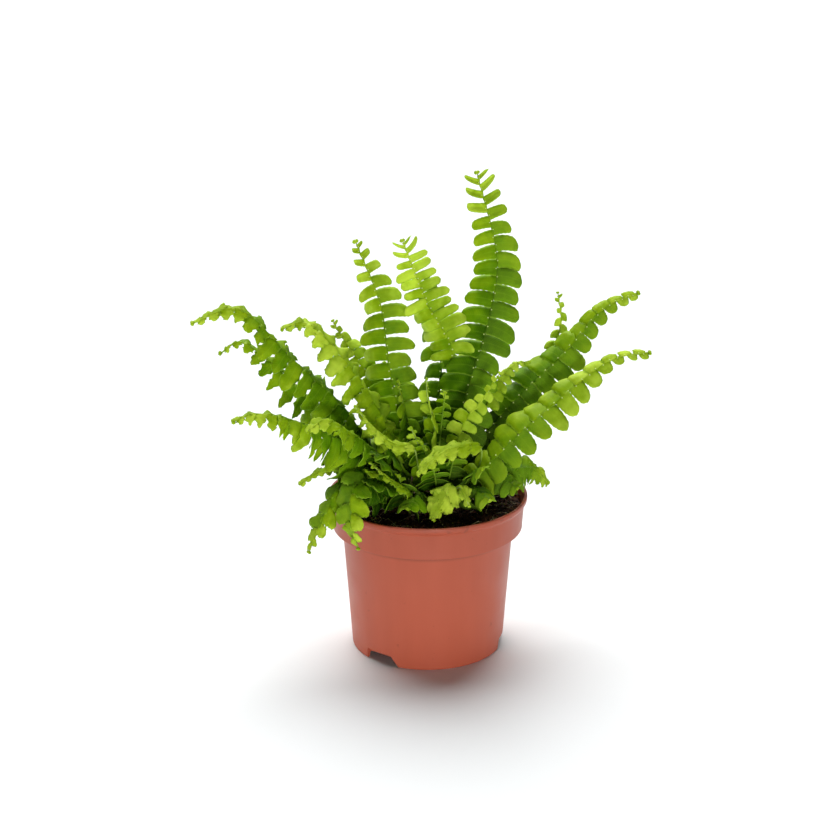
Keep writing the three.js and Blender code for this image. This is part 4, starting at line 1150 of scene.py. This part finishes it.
class FrondMesh:
    """A frond's mesh in the making, with the values that its materials read at each vertex."""

    def __init__(self, frond, stem, settings):
        self.frond, self.stem, self.settings = frond, stem, settings
        self.bm = bmesh.new()
        self.tone = self.bm.verts.layers.float.new("tone")
        self.luck = self.bm.verts.layers.float.new("luck")
        self.edge = self.bm.verts.layers.float.new("edge")
        self.uv = self.bm.loops.layers.uv.new("blade")

    def tone_at(self, share):
        """How pale the frond is at a share of its leafy length: a grown frond is still young at its tip, and
        painted shade darkens it at its foot."""
        age = self.frond["age"]
        tone = age + TIP_PALENESS * (1 - 0.5 * age) * max(share, 0) ** 2
        return max(0.0, GROWN_TONE + (1 - GROWN_TONE) * min(1.0, tone) + FOOT_SHADE * min(share, 0))

    def crown_depth(self, place):
        """How deep in the crown, low over the pot, a place of a grown frond lies, from 0 to 1."""
        low = smoothstep(CROWN_TOP, CROWN_CORE_TOP, place[2])
        inner = smoothstep(CROWN_RADIUS, CROWN_CORE_RADIUS, math.hypot(place[0], place[1]))
        return low * inner * smoothstep(0.5, 0.25, self.frond["age"])

    def add_leaflet(self, start, end, hand, length, droop, share, luck):
        """A leaflet laid on the frond's curve from a flat grid: a broad heel over the stem, a straight
        footward edge, a bowed tipward edge, teeth and waves at its margin, and a blunt end that sags."""
        form = Leaflet(self, start, end, hand, length, droop, share, luck)
        last_row = len(LEAFLET_ROWS) - 1
        verts = bmesh.ops.create_grid(
            self.bm, x_segments=last_row, y_segments=LEAFLET_COLUMNS, size=1
        )["verts"]  # fmt: skip
        rows = {vert: round((vert.co.x + 1) / 2 * last_row) for vert in verts}
        breadths = {vert: vert.co.y * hand for vert in verts}
        places = np.array([form.place(rows[vert], breadths[vert]) for vert in verts])
        laid = blade_points(self.stem, places[:, 0], places[:, 1], form.droop, places[:, 2])
        # Painted shade: leaflets deep in the crown take a darker tone.
        tone = max(0.0, self.tone_at(share) - CROWN_SHADE * self.crown_depth(laid.mean(axis=0)))
        margin_shows = 0.92 + 0.08 * smoothstep(0.05, 0.4, tone)
        for face in {face for vert in verts for face in vert.link_faces}:
            for loop in face.loops:
                reach = LEAFLET_ROWS[rows[loop.vert]]
                loop[self.uv].uv = (reach * form.length, loop.vert.co.y * form.half)
            if hand > 0:
                face.normal_flip()
        for vert, place in zip(verts, laid):
            vert.co = place
            margin = max(abs(breadths[vert]), smoothstep(0.93, 1, LEAFLET_ROWS[rows[vert]]))
            vert[self.tone], vert[self.luck], vert[self.edge] = tone, luck, margin * margin_shows

    def add_stem(self):
        """The stem as a tapered tube, from just inside the peat to the frond's tip."""
        stem = self.stem
        steps = max(6, round(stem.length / STEM_STEP))
        marks = [-STEM_SUNK] + [stem.length * i / steps for i in range(steps + 1)]
        middles = [Vector(point) for point in stem.at(marks)[0]]
        shares = [max(0.0, mark / stem.length) for mark in marks]
        slimmer = SMALL_FROND_STEM * (1 - min(1, self.frond["reach"] / FULL_STEM_REACH))
        root = STEM_ROOT_RADIUS * (1 - slimmer)
        radii = [root + (STEM_TIP_RADIUS - root) * share**0.9 for share in shares]
        verts = add_tube(self.bm, middles, radii, STEM_SIDES)
        faces = {face for vert in verts for face in vert.link_faces}
        for number, vert in enumerate(verts):
            share = shares[number // STEM_SIDES]
            vert[self.tone] = share
            vert[self.luck] = self.frond["age"]
        for face in faces:
            face.material_index = 1

    def add_joint(self, start, end, hand, share):
        """The small pale joint where a leaflet meets the stem."""
        middle, across, out = (vectors[0] for vectors in self.stem.at([(start + end) / 2]))
        centre = middle + across * hand * 0.5 + out * (STEM_ROOT_RADIUS + 0.35 - 0.45 * max(share, 0))
        radius = JOINT_RADIUS - 0.2 * max(share, 0)
        verts = bmesh.ops.create_icosphere(self.bm, subdivisions=1, radius=radius)["verts"]
        bmesh.ops.translate(self.bm, vec=Vector(centre), verts=verts)
        for vert in verts:
            vert[self.tone], vert[self.luck] = 1.0, JOINT_PALENESS
        for face in {face for vert in verts for face in vert.link_faces}:
            face.material_index = 1

    def add_tip(self):
        """The unopened end of the frond: a few tiny folded leaflets round the stem's end."""
        middle, across, out = (vectors[0] for vectors in self.stem.at([self.stem.length - 0.4]))
        size = 0.5 + 0.05 * self.frond["reach"]
        for number, (side, up, scale) in enumerate(((0.5, 0.1, 1), (-0.5, 0.2, 0.9), (0, 0.5, 0.8))):
            verts = bmesh.ops.create_icosphere(self.bm, subdivisions=1, radius=size * scale)["verts"]
            centre = middle + across * side * size + out * up * size
            bmesh.ops.translate(self.bm, vec=Vector(centre), verts=verts)
            for vert in verts:
                vert[self.tone] = self.tone_at(1)
                vert[self.luck] = 0.3 * number
                vert[self.edge] = 0.5


def leaf_material(name, settings, underside):
    """Living fern leaflet. On top it is satin under a thin waxy skin, dark green when grown and yellow-green
    when new, with a pressed-in midrib, fine slanted side veins and a thin pale margin. Underneath it is
    paler and duller. Light from behind comes through yellow-green."""
    material, tree, place = new_material(name)
    layers = ("tone", "luck", "edge")
    tone, luck, edge = (
        add_node(tree, "Attribute", attribute_name=layer).outputs["Fac"] for layer in layers
    )
    # Mottling in patches about 6 mm wide, and a shift of its own for each leaflet.
    patches = add_node(tree, "TexNoise", {"Vector": place, "Scale": scale_of(6), "Detail": 4.0})
    mottling = add_node(
        tree, "MapRange",
        {"Value": patches, "From Min": 0.3, "From Max": 0.7, "To Min": -0.11, "To Max": 0.11},
    )  # fmt: skip
    own = add_node(tree, "MapRange", {"Value": luck, "To Min": -0.11, "To Max": 0.11})
    shift = add_node(tree, "Math", {0: mottling, 1: own}, operation="ADD")
    # Painted shade: each leaflet is darker at its foot, by the stem, and grows paler over its first 14 mm.
    blade = add_node(tree, "SeparateXYZ", {"Vector": add_node(tree, "UVMap", uv_map="blade")})
    outward = add_node(
        tree, "MapRange", {"Value": blade.outputs["X"], "From Max": 14.0, "To Min": -0.12, "To Max": 0.12}
    )
    mottling_and_shade = add_node(tree, "Math", {0: shift, 1: outward}, operation="ADD")
    age = add_node(tree, "Math", {0: tone, 1: mottling_and_shade}, operation="ADD")
    ramp = add_node(tree, "ValToRGB", {"Fac": age})
    stops = (
        (0.0, settings.shaded), (0.2, settings.grown), (0.48, settings.mid), (0.76, settings.fresh),
        (1.0, settings.new),
    )  # fmt: skip
    for position, _ in stops[1:-1]:
        ramp.color_ramp.elements.new(position)
    for element, (position, colour) in zip(ramp.color_ramp.elements, stops):
        element.position, element.color = position, opaque(colour)
    # Veins from the blade's own map in millimetres: side veins slant 55 degrees from the midrib. They are
    # drawn 1.3 mm apart, about twice the real spacing, so that they show.
    aside = add_node(tree, "Math", {0: blade.outputs["Y"]}, operation="ABSOLUTE")
    slant = add_node(tree, "Math", {0: aside, 1: -0.7, 2: blade.outputs["X"]}, operation="MULTIPLY_ADD")
    phase = add_node(tree, "Math", {0: slant, 1: math.tau / 1.3}, operation="MULTIPLY")
    ripple = add_node(tree, "Math", {0: phase}, operation="SINE")
    veins = add_node(tree, "MapRange", {"Value": ripple, "From Min": 0.55, "From Max": 1.0, "To Max": 0.14})
    midrib = add_node(
        tree, "MapRange", {"Value": aside, "From Min": 0.1, "From Max": 0.42, "To Min": 0.18, "To Max": 0.0}
    )
    margin = add_node(tree, "MapRange", {"Value": edge, "From Min": 0.82, "From Max": 1.0, "To Max": 0.75})
    lines = add_node(tree, "Math", {0: veins, 1: midrib}, operation="MAXIMUM")
    pale = add_node(tree, "Math", {0: lines, 1: margin}, operation="MAXIMUM")
    colour = add_node(
        tree, "Mix", {"Factor": pale, "A": ramp, "B": opaque(settings.margin)}, data_type="RGBA"
    )
    if underside:
        colour = add_node(
            tree, "Mix", {"Factor": 0.22, "A": colour, "B": opaque(linear(LEAF_UNDERSIDE))}, data_type="RGBA"
        )
    relief = add_node(tree, "Math", {0: lines, 1: patches}, operation="SUBTRACT")
    bump = add_node(
        tree, "Bump", {"Height": relief, "Strength": 0.5, "Distance": 0.25 * MM}, invert=not underside
    )
    skin = add_node(
        tree, "BsdfPrincipled",
        {"Base Color": colour, "Roughness": 0.6 if underside else 0.45, "Specular IOR Level": 0.22,
         "Specular Tint": opaque(linear(LEAF_WAX)), "Normal": bump, "IOR": 1.45},
    )  # fmt: skip
    through = add_node(
        tree, "Mix", {"Factor": 0.35, "A": colour, "B": opaque(linear(LIGHT_THROUGH_LEAF))}, data_type="RGBA"
    )
    glow = add_node(tree, "BsdfTranslucent", {"Color": through})
    leaf = add_node(tree, "MixShader", {0: 0.32, 1: skin, 2: glow})
    add_node(tree, "OutputMaterial", {"Surface": leaf})
    return material


def stem_material(settings):
    """Fern stem: a wiry, faintly ribbed stalk, dull brown where it leaves the peat and green above. The mesh
    gives each vertex its share of the way up the stem as "tone" and the frond's age as "luck"."""
    material, tree, place = new_material("fern_stalk")
    layers = ("tone", "luck")
    along, youth = (add_node(tree, "Attribute", attribute_name=layer).outputs["Fac"] for layer in layers)
    specks = add_node(tree, "TexNoise", {"Vector": place, "Scale": scale_of(1.2), "Detail": 3.0})
    aged_along = add_node(tree, "Math", {0: youth, 1: 0.3, 2: along}, operation="MULTIPLY_ADD")
    wander = add_node(tree, "Math", {0: specks, 1: 0.3, 2: aged_along}, operation="MULTIPLY_ADD")
    greenness = add_node(tree, "MapRange", {"Value": wander, "From Min": 0.18, "From Max": 0.45})
    colour = add_node(
        tree, "Mix",
        {"Factor": greenness, "A": opaque(settings.stem_foot), "B": opaque(settings.stem)}, data_type="RGBA",
    )  # fmt: skip
    # The foot of a young stem stays green, and only its leafy part is pale.
    leafy = add_node(
        tree, "MapRange", {"Value": along, "From Min": 0.3, "From Max": 0.6, "To Max": greenness}
    )
    paleness = add_node(
        tree, "MapRange", {"Value": youth, "From Min": 0.35, "From Max": JOINT_PALENESS, "To Max": leafy}
    )
    aged = add_node(
        tree, "Mix", {"Factor": paleness, "A": colour, "B": opaque(linear(YOUNG_STALK))}, data_type="RGBA"
    )
    bump = add_node(tree, "Bump", {"Height": specks, "Strength": 0.4, "Distance": 0.1 * MM})
    stalk = add_node(
        tree, "BsdfPrincipled", {"Base Color": aged, "Roughness": 0.5, "Normal": bump, "IOR": 1.45}
    )
    add_node(tree, "OutputMaterial", {"Surface": stalk})
    return material


def slot_for(age):
    if age < GREEN_FROM_AGE:
        return "leaf_dark"
    return "leaf_green" if age < PALE_FROM_AGE else "leaf_pale"


def all_fronds():
    fronds = [dict(zip(FROND_KEYS, row)) for row in FRONDS]
    return fronds, [Stem(frond) for frond in fronds]


class FERN_OT_make_fronds(bpy.types.Operator):
    """Make the fronds, each a stem with its leaflets bent away from its neighbours"""

    bl_idname = "fern.make_fronds"
    bl_label = "Fronds"

    def execute(self, context):
        settings = context.scene.fern_foliage
        upper = leaf_material("fern_leaf_upper_side", settings, underside=False)
        under = leaf_material("fern_leaf_underside", settings, underside=True)
        stalk = stem_material(settings)
        fronds, stems = all_fronds()
        for frond, stem, plan in zip(fronds, stems, plan_leaflets(fronds, stems)):
            name, slot = frond["name"], slot_for(frond["age"])
            mesh = FrondMesh(frond, stem, settings)
            for leaflet in plan:
                mesh.add_leaflet(*leaflet)
            blades = finish_piece(name + "_leaflets", mesh.bm, [upper, under], ["frond_" + name])
            shell = blades.modifiers.new("thickness", "SOLIDIFY")
            shell.thickness = settings.thickness
            shell.offset = 0
            shell.material_offset = 1
            stalk_mesh = FrondMesh(frond, stem, settings)
            stalk_mesh.add_stem()
            stalk_mesh.add_tip()
            for start, end, hand, _, _, share, _ in plan:
                if frond["reach"] >= SHOWS_JOINTS and frond["frill"] < 0.5:
                    stalk_mesh.add_joint(start, end, hand, share)
            finish_piece(name + "_stem", stalk_mesh.bm, [upper, stalk], ["frond_" + name])
        return {"FINISHED"}


class FERN_OT_make_scales(bpy.types.Operator):
    """Make the papery brown scales that cover the lowest part of each stem"""

    bl_idname = "fern.make_scales"
    bl_label = "Stem scales"

    def execute(self, context):
        rng = random.Random(5)
        scales = bmesh.new()
        for stem in all_fronds()[1]:
            for _ in range(SCALES_PER_STEM):
                along = SCALY_LENGTH * rng.random() ** 1.4
                middle = Vector(stem.at([along])[0][0])
                turn = rng.uniform(0, math.tau)
                lean = Vector((math.cos(turn), math.sin(turn), rng.uniform(0.5, 1.6))).normalized()
                length = rng.uniform(1.2, 2.6)
                cone = bmesh.ops.create_cone(
                    scales, cap_ends=True, segments=3, radius1=0.22, radius2=0.02, depth=length
                )
                stands = lean.to_track_quat("Z", "Y").to_matrix().to_4x4()
                place = Matrix.Translation(middle + lean * 1.1) @ stands
                bmesh.ops.transform(scales, matrix=place, verts=cone["verts"])
        papery = mottled_material("papery_scale", "#4A2E18", "#8C6238", 0.6, 0.7, 0.05)
        finish_piece("stem_scales", scales, [papery])
        return {"FINISHED"}


# ======== studio ========

AIM = Vector((-4.6, 0, 142)) * MM
VIEW_DISTANCE = 1.18
VIEW_PITCH_DEG = 18.9
LENS_MM = 85
SENSOR_MM = 36


def floor_material(settings):
    """Matt white painted board: even, with a barely visible roller texture."""
    material, tree, place = new_material("matt_painted_board")
    roller = add_node(tree, "TexNoise", {"Vector": place, "Scale": scale_of(3), "Detail": 2.0})
    bump = add_node(tree, "Bump", {"Height": roller, "Strength": 0.05, "Distance": 0.1 * MM})
    paint = add_node(
        tree, "BsdfPrincipled", {"Base Color": opaque(settings.paint), "Roughness": 0.8, "Normal": bump}
    )
    add_node(tree, "OutputMaterial", {"Surface": paint})
    return material


def add_soft_light(name, azimuth_deg, elevation_deg, strength, softness_deg):
    """A wide soft light, far off: azimuth 0 is behind the camera and 90 is at its right hand."""
    lamp = bpy.data.lights.new(name, "SUN")
    lamp.energy, lamp.angle = strength, math.radians(softness_deg)
    light = bpy.data.objects.new(name, lamp)
    azimuth, elevation = math.radians(azimuth_deg), math.radians(elevation_deg)
    level = math.cos(elevation)
    towards = Vector((math.sin(azimuth) * level, -math.cos(azimuth) * level, math.sin(elevation)))
    light.rotation_euler = towards.to_track_quat("Z", "Y").to_euler()
    bpy.context.scene.collection.objects.link(light)


class FERN_OT_make_stage(bpy.types.Operator):
    """Make the camera, the pale floor, the white surround and the soft lights"""

    bl_idname = "fern.make_stage"
    bl_label = "Stage"

    def execute(self, context):
        scene, settings = context.scene, context.scene.fern_studio
        camera = bpy.data.objects.new("camera", bpy.data.cameras.new("camera"))
        camera.data.lens, camera.data.sensor_width = LENS_MM, SENSOR_MM
        pitch = math.radians(VIEW_PITCH_DEG)
        camera.location = AIM + VIEW_DISTANCE * Vector((0, -math.cos(pitch), math.sin(pitch)))
        camera.rotation_euler = (math.pi / 2 - pitch, 0, 0)
        scene.collection.objects.link(camera)
        scene.camera = camera

        ground = bmesh.new()
        bmesh.ops.create_grid(ground, x_segments=1, y_segments=1, size=settings.floor / 2)
        mesh = bpy.data.meshes.new("studio_floor")
        ground.to_mesh(mesh)
        ground.free()
        mesh.materials.append(floor_material(settings))
        floor = bpy.data.objects.new("studio_floor", mesh)
        scene.collection.objects.link(floor)

        add_soft_light("overhead_light", 191, 57, settings.key, 63)
        add_soft_light("front_light", 5, 3.5, settings.fill, 10)
        world = bpy.data.worlds.new("white_surround")
        world.use_nodes = True
        background = world.node_tree.nodes["Background"]
        background.inputs["Color"].default_value = (1, 1, 1, 1)
        background.inputs["Strength"].default_value = settings.sky
        scene.world = world
        scene.view_settings.view_transform = "Standard"
        return {"FINISHED"}


# ======== add-on ========

SETTINGS = {
    "fern_pot": PotSettings,
    "fern_peat": PeatSettings,
    "fern_foliage": FoliageSettings,
    "fern_studio": StudioSettings,
}
OPERATORS = (
    FERN_OT_make_stage,
    FERN_OT_make_pot,
    FERN_OT_make_peat,
    FERN_OT_make_litter,
    FERN_OT_make_fronds,
    FERN_OT_make_scales,
)


class FERN_PT_panel(bpy.types.Panel):
    """Lists the fern's pieces and settings in the 3D view's sidebar"""

    bl_idname = "FERN_PT_panel"
    bl_label = "Potted Fern"
    bl_space_type = "VIEW_3D"
    bl_region_type = "UI"
    bl_category = "Fern"

    def draw(self, context):
        for operator in OPERATORS:
            self.layout.operator(operator.bl_idname)
        for name, group in SETTINGS.items():
            box = self.layout.box()
            for setting in group.__annotations__:
                box.prop(getattr(context.scene, name), setting)


def register():
    for group in SETTINGS.values():
        bpy.utils.register_class(group)
    for cls in (*OPERATORS, FERN_PT_panel):
        bpy.utils.register_class(cls)
    for name, group in SETTINGS.items():
        setattr(bpy.types.Scene, name, PointerProperty(type=group))


def unregister():
    for name in SETTINGS:
        delattr(bpy.types.Scene, name)
    for cls in (FERN_PT_panel, *reversed(OPERATORS)):
        bpy.utils.unregister_class(cls)
    for group in SETTINGS.values():
        bpy.utils.unregister_class(group)


def main():
    register()
    bpy.ops.fern.make_stage()
    bpy.ops.fern.make_pot()
    bpy.ops.fern.make_peat()
    bpy.ops.fern.make_litter()
    bpy.ops.fern.make_fronds()
    bpy.ops.fern.make_scales()


if __name__ == "__main__":
    main()
